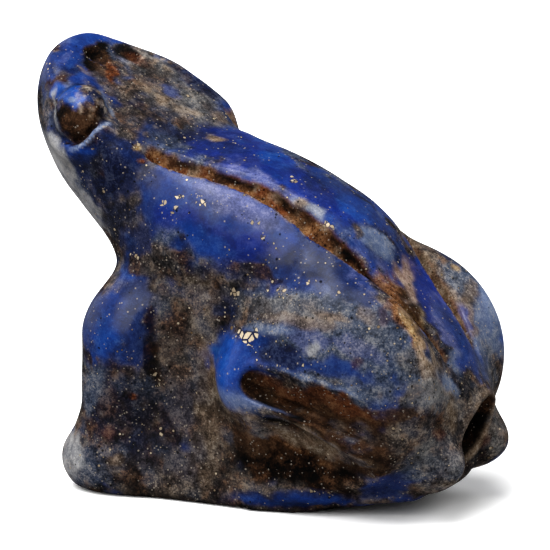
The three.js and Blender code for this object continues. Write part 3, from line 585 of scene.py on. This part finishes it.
# Marks on the side that the photograph shows: name, middle in photograph
# pixels, half length, half width, turn in degrees, kind and strength.
MARKS = [
    ("head and neck", (106, 150), 66, 66, 0, "deep", 1),
    ("flank", (262, 236), 120, 48, 27, "blue", 1),
    ("haunch", (340, 346), 108, 52, 22, "slate", 0.95),
    ("snout", (76, 58), 48, 28, -38, "blue", 0.95),
    ("snout edge", (54, 78), 6, 20, 8, "navy", 0.5),
    ("snout clouding", (64, 58), 10, 4, -45, "lilac", 0.35),
    ("snout dark", (72, 70), 10, 5, -20, "navy", 0.7),
    ("face", (172, 92), 70, 26, 32, "ash", 0.9),
    ("face far edge", (196, 80), 46, 8, 36, "navy", 0.9),
    ("face crust", (150, 92), 40, 16, 30, "crust", 0.6),
    ("face by the nostrils", (112, 82), 12, 24, -40, "crust", 0.8),
    ("face tan", (146, 84), 12, 7, 30, "tan", 0.7),
    ("face blue pool", (138, 100), 9, 7, 30, "navy", 0.8),
    ("face blue pool far", (172, 92), 12, 6, 35, "blue", 0.6),
    ("face cream streak", (187, 112), 13, 4, 15, "cream", 0.9),
    ("face tan spot", (163, 99), 8, 5, 20, "tan", 0.7),
    ("face tan low", (178, 116), 10, 4, 15, "tan", 0.7),
    ("face cream far", (220, 118), 11, 6, 35, "tan", 0.6),
    ("face dark foot", (160, 118), 28, 7, 8, "soot", 0.85),
    ("face corner", (130, 120), 14, 18, -50, "crust", 0.9),
    ("face corner dark", (140, 110), 10, 10, 0, "soot", 0.7),
    ("left nostril", (97, 56), 15, 11, -10, "shade", 1),
    ("left nostril stain", (106, 68), 5, 11, -25, "earth", 0.8),
    ("nostril tail", (112, 72), 3, 8, -25, "rust", 1),
    ("right nostril", (126, 51), 15, 6, 22, "shade", 0.9),
    ("right nostril tail", (138, 59), 13, 4, 26, "rust", 0.6),
    ("nostril ridge", (112, 54), 2.5, 9, -14, "slate", 0.8),
    ("brow", (100, 84), 7, 26, -42, "blue", 0.9),
    ("brow crust", (84, 70), 8, 2, 38, "tan", 0.4),
    ("eye top smear", (56, 83), 14, 7, -35, "earth", 0.9),
    ("eye ball", (81, 114), 28, 26, 0, "shade", 1),
    ("eye ball brown", (88, 120), 14, 13, 0, "earth", 0.9),
    ("eye cap", (68, 96), 19, 11, 12, "bright", 1),
    # painted highlight on the eye's blue cap
    ("eye cap pale", (72, 100), 5, 3, 0, "cloud", 1),
    ("eye corner", (92, 94), 9, 8, 0, "navy", 0.9),
    # painted light along the front edge of the eye ball
    ("eye front line", (52, 114), 1.8, 18, -8, "pale", 0.8),
    # painted light on the far rim of the eye, where it catches the light
    ("eye rim far", (108, 104), 18, 2.5, 64, "cloud", 0.9),
    ("eye front hollow", (46, 119), 3.5, 14, 0, "crust", 0.9),
    ("cheek", (84, 150), 38, 7, 5, "blue", 0.95),
    ("throat grey", (72, 178), 40, 9, 62, "slate", 0.7),
    ("neck", (108, 176), 24, 36, -12, "navy", 0.95),
    ("neck soot", (98, 164), 8, 12, -20, "soot", 0.5),
    ("neck low", (118, 222), 16, 22, 0, "navy", 0.9),
    ("neck side", (142, 232), 17, 24, 10, "deep", 0.85),
    ("eye gold", (137, 147), 6, 4, 0, "gold", 1),
    ("rusty pit", (142, 162), 4, 3, 0, "rust", 1),
    ("nape", (150, 150), 14, 6, 20, "crust", 0.6),
    ("panel front", (240, 150), 58, 18, 16, "royal", 1),
    # painted shade, dark, at the crease in front of the back
    ("panel front dark", (172, 130), 30, 8, 12, "navy", 0.8),
    ("panel front deep", (226, 146), 32, 8, 14, "deep", 0.6),
    # painted sheen on the front of the back
    ("panel front bright", (278, 160), 22, 7, 24, "bright", 0.8),
    ("panel middle", (322, 196), 56, 16, 34, "royal", 0.9),
    ("panel middle deep", (318, 180), 14, 8, 30, "deep", 0.7),
    ("panel middle bright", (356, 208), 22, 9, 40, "bright", 0.8),
    ("panel far edge", (352, 200), 60, 6, 38, "blue", 0.9),
    ("panel rear", (402, 272), 42, 14, 52, "blue", 0.8),
    ("panel tan oval", (216, 138), 9, 3, 6, "tan", 0.95),
    # painted sheen: lilac strips along the upper side of the back groove
    ("panel lilac", (262, 180), 34, 7, 26, "lilac", 0.75),
    ("panel pale", (226, 168), 22, 4, 18, "lilac", 0.5),
    ("panel cloud", (312, 212), 18, 9, 34, "cloud", 0.8),
    ("panel cloud core", (313, 211), 12, 7, 34, "pale", 0.5),
    ("panel cloud tan", (304, 204), 6, 5, 20, "tan", 0.8),
    ("panel rear cloud", (378, 244), 22, 10, 42, "cloud", 0.9),
    ("panel rear cloud core", (384, 246), 15, 8, 42, "cloud", 0.8),
    ("panel rear crust", (357, 232), 3, 8, -20, "crust", 0.8),
    ("panel pink patch", (405, 282), 11, 22, -14, "pink", 1),
    ("panel olive crust", (420, 322), 10, 16, -20, "gold", 0.45),
    ("panel rear soot", (428, 306), 8, 12, -20, "navy", 0.5),
    # painted reflection: a lilac sheen on the upper flank
    ("upper flank", (240, 206), 50, 13, 26, "lilac", 0.85),
    ("upper flank front", (176, 178), 30, 12, 24, "blue", 0.7),
    ("shoulder", (158, 205), 24, 24, 20, "blue", 0.75),
    ("shoulder slate", (170, 232), 18, 12, -30, "slate", 0.8),
    ("deep flank", (240, 250), 84, 20, 22, "royal", 1),
    ("deep flank bright", (205, 242), 30, 13, 20, "bright", 0.55),
    ("deep flank low", (290, 270), 34, 14, 18, "deep", 0.95),
    ("flank by the groove", (326, 254), 46, 15, 38, "deep", 0.9),
    ("flank rear dark", (324, 274), 34, 12, 28, "navy", 0.5),
    ("deep flank rear", (330, 282), 58, 16, 30, "deep", 0.95),
    ("flank soot", (258, 272), 34, 8, 14, "soot", 0.75),
    ("middle flank", (184, 335), 36, 62, 0, "crust", 1),
    ("middle flank soot", (176, 310), 12, 22, 0, "soot", 0.7),
    ("middle flank tan", (206, 288), 22, 10, 20, "tan", 0.35),
    ("middle flank brown", (212, 372), 12, 30, 0, "tan", 0.5),
    ("middle flank low", (170, 408), 34, 28, 0, "navy", 0.6),
    ("middle flank dark", (152, 352), 9, 26, 0, "shade", 0.7),
    ("shoulder rear soot", (160, 262), 42, 14, 10, "soot", 0.85),
    ("shoulder rear crust", (146, 262), 14, 10, 10, "crust", 0.7),
    ("haunch top", (350, 314), 56, 12, 26, "slate", 0.6),
    ("haunch top crust", (290, 308), 44, 11, 10, "ash", 0.7),
    ("haunch top fleck", (330, 316), 22, 5, 16, "tan", 0.5),
    ("haunch top tan", (368, 318), 12, 8, 30, "tan", 0.5),
    ("haunch top blue", (300, 280), 34, 9, 26, "blue", 0.6),
    # painted sheen: a lilac streak along the middle of the haunch
    ("haunch middle", (330, 344), 60, 10, 14, "lilac", 0.5),
    ("haunch middle grey", (300, 322), 44, 6, 8, "tan", 0.45),
    ("haunch blue", (322, 366), 58, 9, 16, "blue", 0.95),
    ("haunch blue low", (372, 390), 30, 8, 22, "slate", 0.7),
    ("haunch lower edge", (318, 382), 38, 3, 19, "cloud", 0.6),
    ("haunch grey", (392, 328), 24, 22, 30, "slate", 0.8),
    ("haunch rear", (420, 378), 34, 20, 30, "slate", 0.95),
    ("haunch rear ash", (446, 384), 14, 8, 40, "cloud", 0.6),
    ("haunch rear crust", (412, 362), 22, 13, 30, "ash", 0.6),
    ("rear band", (404, 312), 42, 11, 60, "clay", 0.95),
    ("rear band gold", (414, 330), 24, 6, 62, "gold", 0.7),
    ("rear band dark", (408, 304), 20, 6, 58, "shade", 0.8),
    ("rear band low", (428, 372), 34, 8, 75, "tan", 0.6),
    ("panel pink patch low", (406, 286), 9, 17, -14, "pink", 0.9),
    ("far groove", (452, 300), 44, 6, 60, "tan", 0.7),
    ("far groove gold", (460, 318), 20, 4, 62, "gold", 0.6),
    ("haunch rear gold", (430, 356), 6, 18, -16, "tan", 0.7),
    ("haunch white spot", (316, 349), 6, 5, 0, "pale", 0.9),
    ("haunch plum spot", (358, 365), 6, 6, 0, "plum", 0.7),
    ("haunch plum streak", (383, 317), 5, 8, 0, "plum", 0.6),
    ("knee", (250, 354), 27, 24, -10, "blue", 1),
    ("knee top", (292, 360), 36, 10, 12, "blue", 0.8),
    # painted shade on the knee's rear part
    ("knee dark", (282, 356), 30, 10, 8, "navy", 0.85),
    # painted light round the front edge of the knee
    ("knee edge", (228, 358), 11, 25, -4, "bright", 1),
    ("knee edge low", (236, 391), 10, 8, 30, "cloud", 0.75),
    # painted highlight on the crown of the knee
    ("knee crown", (268, 330), 22, 5, 4, "cloud", 0.8),
    ("shin front", (232, 398), 8, 9, -35, "slate", 0.8),
    ("lower leg", (300, 450), 92, 34, 10, "earth", 1),
    ("lower leg fold", (312, 456), 34, 3, 30, "clay", 0.6),
    ("thigh groove floor", (330, 406), 100, 15, 17, "earth", 1),
    ("thigh groove clay", (318, 398), 70, 9, 18, "rust", 0.6),
    ("thigh groove shadow", (276, 404), 42, 5, 20, "shade", 1),
    ("thigh groove end", (250, 384), 12, 16, 0, "shade", 0.7),
    ("thigh groove rear", (410, 424), 36, 12, 14, "earth", 0.8),
    ("shin", (284, 422), 48, 4, 20, "shade", 0.9),
    ("shin pale", (260, 431), 9, 5, 20, "ash", 0.7),
    ("shin rear", (300, 416), 50, 4, 20, "shade", 1),
    ("ankle ridge", (300, 444), 44, 8, 24, "clay", 0.6),
    ("foot hollow", (286, 467), 60, 18, 9, "shade", 1),
    ("ankle groove", (330, 470), 46, 6, 22, "shade", 0.9),
    ("ankle ridge low", (340, 462), 40, 4, 22, "earth", 0.9),
    ("foot front", (208, 436), 20, 34, 0, "crust", 0.95),
    ("foot front brown", (211, 402), 15, 34, -12, "tan", 0.6),
    ("foot front dark", (222, 474), 18, 18, 0, "soot", 0.5),
    ("foot front tan", (206, 452), 12, 28, -6, "tan", 0.35),
    ("sole edge", (296, 500), 80, 9, -1, "deep", 0.95),
    ("sole edge blue", (298, 501), 64, 5, -1, "blue", 0.8),
    ("sole rear", (392, 484), 40, 9, -16, "blue", 0.8),
    ("tail side", (428, 398), 32, 14, 10, "ash", 0.9),
    ("tail side pale", (426, 394), 24, 11, 10, "pale", 0.35),
    ("tail brown", (420, 436), 34, 14, 8, "crust", 0.9),
    ("tail pink", (442, 436), 6, 8, 0, "rust", 0.5),
    ("tail rim", (452, 412), 4, 26, -20, "tan", 0.8),
    ("heel", (430, 464), 32, 16, -15, "slate", 0.95),
    ("heel ash", (434, 460), 24, 15, -15, "ash", 0.85),
    ("far haunch", (490, 326), 16, 46, -8, "cloud", 0.8),
    ("far haunch blue", (492, 366), 9, 18, -8, "slate", 0.7),
    ("far haunch top", (458, 278), 22, 14, 40, "slate", 0.95),
    ("far haunch brown", (468, 292), 8, 10, 20, "tan", 0.5),
    ("far haunch gold", (456, 268), 6, 3, 30, "gold", 0.6),
    ("spine rear", (436, 308), 54, 10, 62, "royal", 0.95),
    ("spine sheen", (450, 334), 34, 7, 66, "lilac", 0.9),
    ("tail top", (456, 358), 12, 9, 60, "cloud", 0.6),
    ("far flank", (466, 340), 14, 44, -26, "blue", 0.8),
    ("far flank tan", (470, 316), 5, 20, -30, "tan", 0.6),
    ("far heel", (498, 428), 11, 30, 0, "ash", 1),
    ("far heel rust", (488, 436), 4, 12, 0, "rust", 0.5),
    ("elbow", (112, 324), 40, 46, 0, "blue", 1),
    # painted shade on the elbow's side towards the valley
    ("elbow dark", (134, 318), 14, 36, 0, "deep", 0.8),
    ("elbow deep", (104, 316), 22, 28, 0, "deep", 0.55),
    # painted light on the middle of the elbow
    ("elbow core", (106, 336), 13, 18, 0, "bright", 0.35),
    ("foreleg", (112, 416), 44, 52, 0, "soot", 0.95),
    ("foreleg navy", (120, 408), 36, 40, 0, "navy", 0.6),
    ("foreleg slate", (92, 385), 12, 26, 0, "slate", 0.85),
    ("foreleg slate low", (128, 384), 16, 10, 0, "slate", 0.4),
    ("forefoot", (96, 462), 34, 22, 0, "slate", 0.8),
    # painted reflection, pale, on the forefoot's outer edge
    ("forefoot edge", (68, 450), 6, 24, -8, "pale", 0.8),
    ("forefoot crust", (112, 468), 24, 12, 0, "crust", 0.4),
    ("behind the forefoot", (166, 452), 32, 26, 0, "navy", 0.55),
    ("foreleg rust", (112, 432), 8, 8, 0, "rust", 0.35),
    ("forefoot tan", (112, 462), 10, 7, 0, "tan", 0.6),
    ("forefoot rear", (134, 478), 14, 14, 0, "shade", 0.75),
    ("foreleg red spot", (133, 397), 4, 3, 0, "rust", 0.9),
    ("elbow valley", (150, 345), 8, 44, 0, "shade", 0.75),
    # painted reflection, pale, along the throat's outer edge
    ("throat edge", (60, 168), 36, 10, 62, "pale", 0.95),
    ("throat edge low", (88, 216), 28, 9, 60, "pale", 0.85),
    ("shin crest", (302, 438), 64, 8, 22, "tan", 0.9),
    ("shin crest pale", (262, 428), 12, 4, 20, "ash", 0.8),
]
# a mark's outline wanders by so many pixels, and less where the mark is narrow
WIDE_DRIFT, FINE_DRIFT, DRIFT_SHARE = 15.0, 7.0, 0.8
for name, mark_middle, half_length, half_width, turn, kind, strength in MARKS:
    c, s = math.cos(math.radians(turn)), math.sin(math.radians(turn))
    wide = min(WIDE_DRIFT, DRIFT_SHARE * half_width)
    narrow = min(FINE_DRIFT, DRIFT_SHARE * half_width)
    dx = pixel_x - mark_middle[0] + wide * wide_drift[0] + narrow * fine_drift[0]
    dy = pixel_y - mark_middle[1] + wide * wide_drift[1] + narrow * fine_drift[1]
    distance = np.hypot((dx * c + dy * s) / half_length, (dy * c - dx * s) / half_width)
    amount = fade(1.3, 0.65, distance + 0.9 * ragged)
    lay(kind, strength * facing * amount)

# the rolls of the knees are worn clear to the blue, with painted light that makes them brightest
# round the front, and pale low down
along, up = points[:, 0], points[:, 2]
on_knee = fade(0.14, 0.02, limb(along, side, up, **KNEE) + 0.1 * ragged)
on_knee *= fade(0.5, 0.1, in_thigh_groove) * fade(3.1, 3.7, up + 0.3 * ragged)
below_crown = 1 - fade(5.35, 5.6, up)
lay("blue", 0.9 * on_knee * fade(3.4, 1.8, along) * below_crown)
lay("bright", 0.9 * on_knee * fade(1.0, 0.3, along) * below_crown)
lay("cloud", 0.6 * on_knee * fade(4.2, 3.7, up))

# painted light: the rim of each turned eye is laid pale on its rear half, where it catches the light
EYE_RIM_RADIUS = 1.2
for eye in EYES:
    eye_axis = np.array(eye["axis"]) / np.linalg.norm(eye["axis"])
    from_eye = points - eye["centre"]
    eye_height = from_eye @ eye_axis
    eye_radius = np.sqrt(np.maximum((from_eye ** 2).sum(1) - eye_height ** 2, 0))
    rim = fade(0.1, 0.03, np.abs(eye_radius - EYE_RIM_RADIUS - 0.05 * fine_drift[0]))
    rim *= fade(-0.3, 0.0, eye_height) * fade(-0.3, 0.3, from_eye[:, 0])
    lay("cloud", rim * fade(-0.3, -0.05, ragged))

# the face is weathered to a fine mixture of cream, tan and soot
before_crease = CREASE_POINT[0] + CREASE_SKEW * points[:, 1] - along
on_face = fade(-0.16, -0.06, above_face(*points.T)) * fade(-0.1, 0.1, before_crease)
on_face *= fade(-5.6, -4.8, along)
lay("soot", 0.7 * on_face * patches(0.55, 141, 0.2, 0.9))
lay("tan", 0.55 * on_face * patches(0.35, 146, 0.5, 1.1))
lay("cream", 0.7 * on_face * patches(0.28, 151, 0.9, 1.4))

# the crust is mottled: sooty, bluish and rusty patches run into each other
crusty = fade(0.3, 0.55, stone[:, DULL]) * (stone[:, DULL] < 0.75)
lay("soot", 0.35 * crusty * patches(0.8, 121, 0.0, 1.2))
lay("slate", 0.45 * crusty * patches(1.1, 126, 0.0, 1.2))
lay("earth", 0.18 * crusty * patches(0.7, 131, 0.2, 1.1))
lay("tan", 0.22 * crusty * patches(0.4, 136, 0.4, 1.2))
lay("shade", 0.3 * crusty * patches(0.4, 139, 0.9, 1.4))

# earth and crust in the cuts: rusty on the floor, with a thin line of tan crust along the outer edge;
# painted shadow lies black under the inner wall, and painted shade in the other hollows and inside
# the bore
across = across_back_groove(along, points[:, 1])
floor_of_groove = fade(0.2, 0.6, in_back_groove + 0.4 * ragged)
crumble = wave_noise(points, 0.45, 91)
lay("clay", floor_of_groove)
lay("rust", floor_of_groove * fade(-0.2, 0.5, crumble))
lay("tan", 0.7 * floor_of_groove * patches(0.5, 94, 0.5, 1.1))
lay("earth", 0.7 * floor_of_groove * patches(0.9, 96, 0.5, 1.0))
lay("tan", 0.6 * floor_of_groove * (points[:, 1] > 0))
# painted shadow, black, under the inner wall of each back groove
lay("shade", floor_of_groove * fade(-0.15, -0.24, across + 0.2 * ragged))
edge_line = fade(0.12, 0.2, across) * fade(0.38, 0.29, across)
groove_here = back_grooves(along, np.full(len(points), BACK_GROOVE_PLACE), up)
edge_line *= fade(0.02, 0.15, groove_here)
lay("tan", 0.85 * edge_line * fade(0.6, 0.0, crumble))
lay("earth", fade(0.3, 0.75, in_thigh_groove + 0.5 * ragged) * (1 - 0.6 * facing))
# painted shade darkens the hollows, but little in the grooves
closed = closed_near * (1 - 0.9 * np.clip(in_back_groove + 0.8 * in_thigh_groove, 0, 1))
lay("shade", fade(0.45, 0.85, closed + 0.4 * ragged))
bore_edge = fade(0.34, 0.2, from_bore) * (np.abs(along) > 3)
lay("tan", 0.7 * bore_edge * fade(-0.2, 0.1, ragged))
# painted shade fills the bore
lay("shade", in_bore)

# painted shade, with grime, darkens the foot of the stone where it meets the floor
lay("shade", 0.75 * fade(0.5, 0.05, up + 0.25 * ragged))

# painted light and shade, with wear and dirt: high places are made lighter and hollows darker, by how
# much the stone bulges
in_a_cut = np.clip(in_back_groove + in_thigh_groove, 0, 1)
wear_and_shading = 1 + 0.28 * np.clip(bulge - 0.45, -1.2, 0.9) * (1 - in_a_cut)
stone[:, :GRAIN] *= wear_and_shading[:, None]

# Pyrite lies in swarms. A nest of large crystals sits on the knee, and crumbs
# elsewhere: name, middle, half width and half height in photograph pixels.
KNEE_NEST = ((248, 333), 9, 10)
CRUMB_NESTS = [
    ("below the groove", (255, 220), 4, 6),
    ("upper flank", (264, 238), 3, 3),
    ("upper flank rear", (271, 241), 3, 3),
    ("shoulder", (180, 198), 3, 3),
    ("shoulder front", (161, 202), 3, 3),
    ("shoulder rear", (201, 205), 3, 3),
    ("shoulder low", (176, 210), 4, 3),
    ("panel at the groove", (329, 223), 4, 4),
    ("panel front", (294, 179), 3, 2),
    ("above the knee", (235, 293), 4, 4),
    ("above the haunch", (282, 294), 4, 5),
    ("flank rear", (311, 282), 4, 3),
    ("behind the eye", (137, 147), 5, 4),
    ("sole", (281, 495), 4, 4),
    ("sole rear", (313, 490), 4, 4),
    ("middle flank", (159, 379), 6, 8),
    ("behind the shoulder", (136, 258), 5, 5),
    ("behind the foreleg", (162, 436), 4, 6),
    ("haunch", (302, 366), 4, 3),
]
NEST_MARGIN = 1.5


def in_nest(nest_middle, half_width, half_height):
    dx = (pixel_x - nest_middle[0]) / (half_width + NEST_MARGIN)
    dy = (pixel_y - nest_middle[1]) / (half_height + NEST_MARGIN)
    return facing * fade(1.1, 0.7, np.hypot(dx, dy))


swarm = fade(0.5, 0.62, layered_noise(points, 1.5, 111, 4))
pyrite = stone[:, PYRITE] * (0.25 + 1.1 * swarm)
nest = in_nest(*KNEE_NEST)
crumbs = np.zeros(len(points))
for name, *crumb_nest in CRUMB_NESTS:
    crumbs = np.maximum(crumbs, in_nest(*crumb_nest))

mesh = bpy.data.meshes.new("frog_carving")
mesh.from_pydata((skin * MM).tolist(), [], quads.tolist())
mesh.polygons.foreach_set("use_smooth", [True] * len(mesh.polygons))
mesh.update()
carving = bpy.data.objects.new("frog_carving", mesh)
bpy.context.collection.objects.link(carving)

for layer_name, first in (("body", 0), ("dark", 3), ("pale", 6)):
    layer = mesh.color_attributes.new(layer_name, "FLOAT_COLOR", "POINT")
    tints = np.column_stack([stone[:, first:first + 3], np.ones(len(stone))])
    layer.data.foreach_set("color", tints.astype(np.float32).ravel())
shares = dict(grain=stone[:, GRAIN], dull=stone[:, DULL], pyrite=pyrite, nest=nest, crumbs=crumbs)
for share_name, share in shares.items():
    attribute = mesh.attributes.new(share_name, "FLOAT", "POINT")
    attribute.data.foreach_set("value", share.astype(np.float32))

# The lapis itself: polished where it is bare, dull where earth clings, with
# pale and dark specks finer than the painted areas, and pyrite that glints.
lapis = bpy.data.materials.new("worn_lapis_lazuli")
lapis.use_nodes = True
tree = lapis.node_tree
shader = tree.nodes["Principled BSDF"]


def node(kind, inputs=None, **settings):
    made = tree.nodes.new(kind)
    for key, value in settings.items():
        setattr(made, key, value)
    for key, value in (inputs or {}).items():
        if isinstance(value, bpy.types.NodeSocket):
            tree.links.new(value, made.inputs[key])
        else:
            made.inputs[key].default_value = value
    return made


def painted(name, socket="Fac"):
    return node("ShaderNodeAttribute", attribute_name=name).outputs[socket]


def work_out(operation, a, b=0.0, clamp=False):
    return node("ShaderNodeMath", {0: a, 1: b}, operation=operation, use_clamp=clamp).outputs[0]


def ramp(value, low, high, to_low=0.0, to_high=1.0):
    inputs = {0: value, 1: low, 2: high, 3: to_low, 4: to_high}
    return node("ShaderNodeMapRange", inputs, clamp=True).outputs[0]


def mix_colour(amount, under, over):
    inputs = {0: amount, 6: under, 7: over}
    return node("ShaderNodeMix", inputs, data_type="RGBA").outputs[2]


# noise and grains are laid out in millimetres
object_place = node("ShaderNodeTexCoord").outputs["Object"]
place = node("ShaderNodeVectorMath", {0: object_place, 3: 1 / MM}, operation="SCALE").outputs[0]


def noise(scale, detail, roughness=0.6):
    inputs = {"Vector": place, "Scale": scale, "Detail": detail, "Roughness": roughness}
    return node("ShaderNodeTexNoise", inputs).outputs[0]


def times(a, b):
    return work_out("MULTIPLY", a, b)


def highest(first, *others):
    for other in others:
        first = work_out("MAXIMUM", first, other)
    return first


def paint(red, green, blue):
    return (*colour(red, green, blue), 1)


def scattered(scale, share, smallest, largest):
    """whether a cell holds a grain, the way to its middle, its radius and tone"""
    cell = node("ShaderNodeTexVoronoi", {"Vector": place, "Scale": scale, "Randomness": 1.0})
    number = node("ShaderNodeSeparateColor", {0: cell.outputs["Color"]})
    chosen = work_out("LESS_THAN", number.outputs[0], share)
    radius = ramp(number.outputs[1], 0.0, 1.0, smallest, largest)
    return chosen, cell.outputs["Distance"], radius, number.outputs[2]


def grains(scale, share, smallest, largest):
    """scattered grains, each of its own size"""
    chosen, distance, radius, _ = scattered(scale, share, smallest, largest)
    return times(chosen, work_out("LESS_THAN", distance, radius))


GRAIN_RIM = 1.45


def rimmed_grains(scale, share, smallest, largest):
    """scattered grains, with each grain's tone and the dark rim round it"""
    chosen, distance, radius, tone = scattered(scale, share, smallest, largest)
    body = times(chosen, work_out("LESS_THAN", distance, radius))
    wide = times(chosen, work_out("LESS_THAN", distance, times(radius, GRAIN_RIM)))
    return body, tone, work_out("SUBTRACT", wide, body)


def crystals(scale, share, gap):
    """angular crystals, each a whole cell but for the gap at its edges"""
    inputs = {"Vector": place, "Scale": scale, "Randomness": 1.0}
    edge = node("ShaderNodeTexVoronoi", inputs, feature="DISTANCE_TO_EDGE").outputs["Distance"]
    cell = node("ShaderNodeTexVoronoi", inputs)
    number = node("ShaderNodeSeparateColor", {0: cell.outputs["Color"]})
    chosen = work_out("LESS_THAN", number.outputs[0], share)
    body = times(chosen, work_out("GREATER_THAN", edge, gap))
    return body, number.outputs[2], work_out("SUBTRACT", chosen, body)


# the stone's own colours: clouded, rusty where it is dull, with pale and dark
# flecks, pale specks and black pits
RUSTY_BODY, RUSTY_FLECK = paint(72, 46, 31), paint(140, 96, 66)
PIT_BLACK, SPECK_PALE = paint(8, 7, 8), paint(186, 172, 156)
grain = painted("grain")
dull = painted("dull")
clouds = ramp(noise(0.75, 3.0, 0.55), 0.3, 0.7, 0.62, 1.38)
lumps = noise(1.9, 3.0)
streaks = noise(5.0, 5.0, 0.7)
fine = noise(16.0, 5.0, 0.75)
flecks = work_out("ADD", times(streaks, 0.35), times(fine, 0.4))
flecks = work_out("ADD", times(lumps, 0.25), flecks)
pale_amount = work_out("MULTIPLY", ramp(flecks, 0.505, 0.57), grain, clamp=True)
dark_amount = work_out("MULTIPLY", ramp(flecks, 0.495, 0.42), grain, clamp=True)
rusty = times(ramp(noise(1.3, 4.0, 0.65), 0.45, 0.62), ramp(dull, 0.3, 0.6))
pale_colour = mix_colour(times(rusty, 0.65), painted("pale", "Color"), RUSTY_FLECK)
body_colour = mix_colour(times(rusty, 0.4), painted("body", "Color"), RUSTY_BODY)
body_colour = node("ShaderNodeVectorMath", {0: body_colour, 3: clouds}, operation="SCALE").outputs[0]
stone_colour = mix_colour(pale_amount, body_colour, pale_colour)
stone_colour = mix_colour(dark_amount, stone_colour, painted("dark", "Color"))
specks = grains(15.0, times(grain, 0.09), 0.2, 0.5)
pits = grains(9.0, times(grain, 0.045), 0.15, 0.42)
stone_colour = mix_colour(times(pits, 0.85), stone_colour, PIT_BLACK)
stone_colour = mix_colour(times(specks, 0.7), stone_colour, SPECK_PALE)

# pyrite: two sizes of loose grains, the large crystals and the crumbs
PYRITE_DARK, PYRITE_BRIGHT, RIM_BROWN = paint(112, 82, 48), paint(255, 234, 200), paint(22, 18, 16)
pyrite_share = painted("pyrite")
tiny, tiny_tone, tiny_rim = rimmed_grains(14.0, times(pyrite_share, 0.05), 0.2, 0.55)
small, small_tone, small_rim = rimmed_grains(8.0, times(pyrite_share, 0.03), 0.22, 0.5)
large, large_tone, large_seam = crystals(4.0, times(painted("nest"), 0.55), 0.13)
crumb, crumb_tone, crumb_seam = crystals(8.0, times(painted("crumbs"), 0.4), 0.1)
glint = highest(tiny, small, large, crumb)
tone = highest(
    times(tiny, tiny_tone),
    times(small, small_tone),
    times(large, ramp(large_tone, 0.0, 1.0, 0.75, 1.0)),
    times(crumb, ramp(crumb_tone, 0.0, 1.0, 0.3, 1.0)),
)
dark_rim = highest(tiny_rim, small_rim, large_seam, crumb_seam)
stone_colour = mix_colour(times(dark_rim, 0.7), stone_colour, RIM_BROWN)
stone_colour = mix_colour(glint, stone_colour, mix_colour(tone, PYRITE_DARK, PYRITE_BRIGHT))
tree.links.new(stone_colour, shader.inputs["Base Color"])
tree.links.new(times(glint, 0.25), shader.inputs["Metallic"])

# polish, worn through in places and missing where the stone is dull or pitted
BUMP_HEIGHT = 0.16 * MM
polish = work_out("SUBTRACT", 1.0, times(dull, 1.4), clamp=True)
worn = ramp(noise(0.6, 2.0), 0.35, 0.65, 0.1, 0.65)
coat = times(times(polish, worn), work_out("SUBTRACT", 1.0, pits))
tree.links.new(coat, shader.inputs["Coat Weight"])
shader.inputs["Coat Roughness"].default_value = 0.27
tree.links.new(work_out("ADD", 0.42, times(dull, 0.5), clamp=True), shader.inputs["Roughness"])
shader.inputs["Specular IOR Level"].default_value = 0.06
shader.inputs["IOR"].default_value = 1.5

height = times(flecks, work_out("ADD", dull, 0.1))
height = work_out("SUBTRACT", height, times(pits, 0.15))
height = work_out("ADD", height, times(glint, 0.08))
bump = node("ShaderNodeBump", {"Strength": 0.9, "Distance": BUMP_HEIGHT, "Height": height})
tree.links.new(bump.outputs[0], shader.inputs["Normal"])
mesh.materials.append(lapis)

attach(carving, "root")
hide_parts("frog")

# The floor and the light of a small studio: flat white paper under a wide soft
# light from above, with weaker ones from the front, the left and behind.
FLOOR_HALF = 1.5
floor_mesh = bpy.data.meshes.new("floor")
floor_corners = [(x * FLOOR_HALF, y * FLOOR_HALF, 0) for x, y in ((-1, -1), (1, -1), (1, 1), (-1, 1))]
floor_mesh.from_pydata(floor_corners, [], [(0, 1, 2, 3)])
floor = bpy.data.objects.new("floor", floor_mesh)
bpy.context.collection.objects.link(floor)
paper = bpy.data.materials.new("white_paper")
paper.use_nodes = True

# the paper's nodes: white to the eye, grey to the stone, darker in its polish
tree = paper.node_tree
PAPER_SEEN, PAPER_LIT, PAPER_MIRRORED = 1.2, 0.25, 0.12
paths = node("ShaderNodeLightPath")
seen = {0: paths.outputs["Is Camera Ray"], 1: PAPER_SEEN, 2: PAPER_MIRRORED}
paper_tone = node("ShaderNodeMath", seen, operation="MULTIPLY_ADD").outputs[0]
lit = {0: paths.outputs["Is Diffuse Ray"], 1: PAPER_LIT, 2: paper_tone}
paper_tone = node("ShaderNodeMath", lit, operation="MULTIPLY_ADD").outputs[0]
paper_shader = tree.nodes["Principled BSDF"]
tree.links.new(paper_tone, paper_shader.inputs["Base Color"])
paper_shader.inputs["Roughness"].default_value = 0.95
paper_shader.inputs["Specular IOR Level"].default_value = 0.0
floor_mesh.materials.append(paper)


def soft_sun(name, towards_light, spread, strength):
    """a light as wide as the given angle, the same all over the floor"""
    data = bpy.data.lights.new(name, "SUN")
    data.energy = strength
    data.angle = math.radians(spread)
    lamp = bpy.data.objects.new(name, data)
    lamp.rotation_euler = Vector(towards_light).to_track_quat("Z", "Y").to_euler()
    bpy.context.collection.objects.link(lamp)


soft_sun("key_light", (-0.15, -0.25, 0.95), 45, 3.6)
soft_sun("front_light", (-0.1, -0.8, 0.6), 50, 1.7)
soft_sun("side_light", (-0.95, 0.1, 0.3), 60, 0.75)
soft_sun("back_light", (0.7, 0.35, 0.75), 45, 0.9)

world = bpy.data.worlds.new("white_room")
world.use_nodes = True
background = world.node_tree.nodes["Background"]
background.inputs["Color"].default_value = (1, 1, 1, 1)
background.inputs["Strength"].default_value = 0.15
bpy.context.scene.world = world
bpy.context.scene.view_settings.view_transform = "Standard"
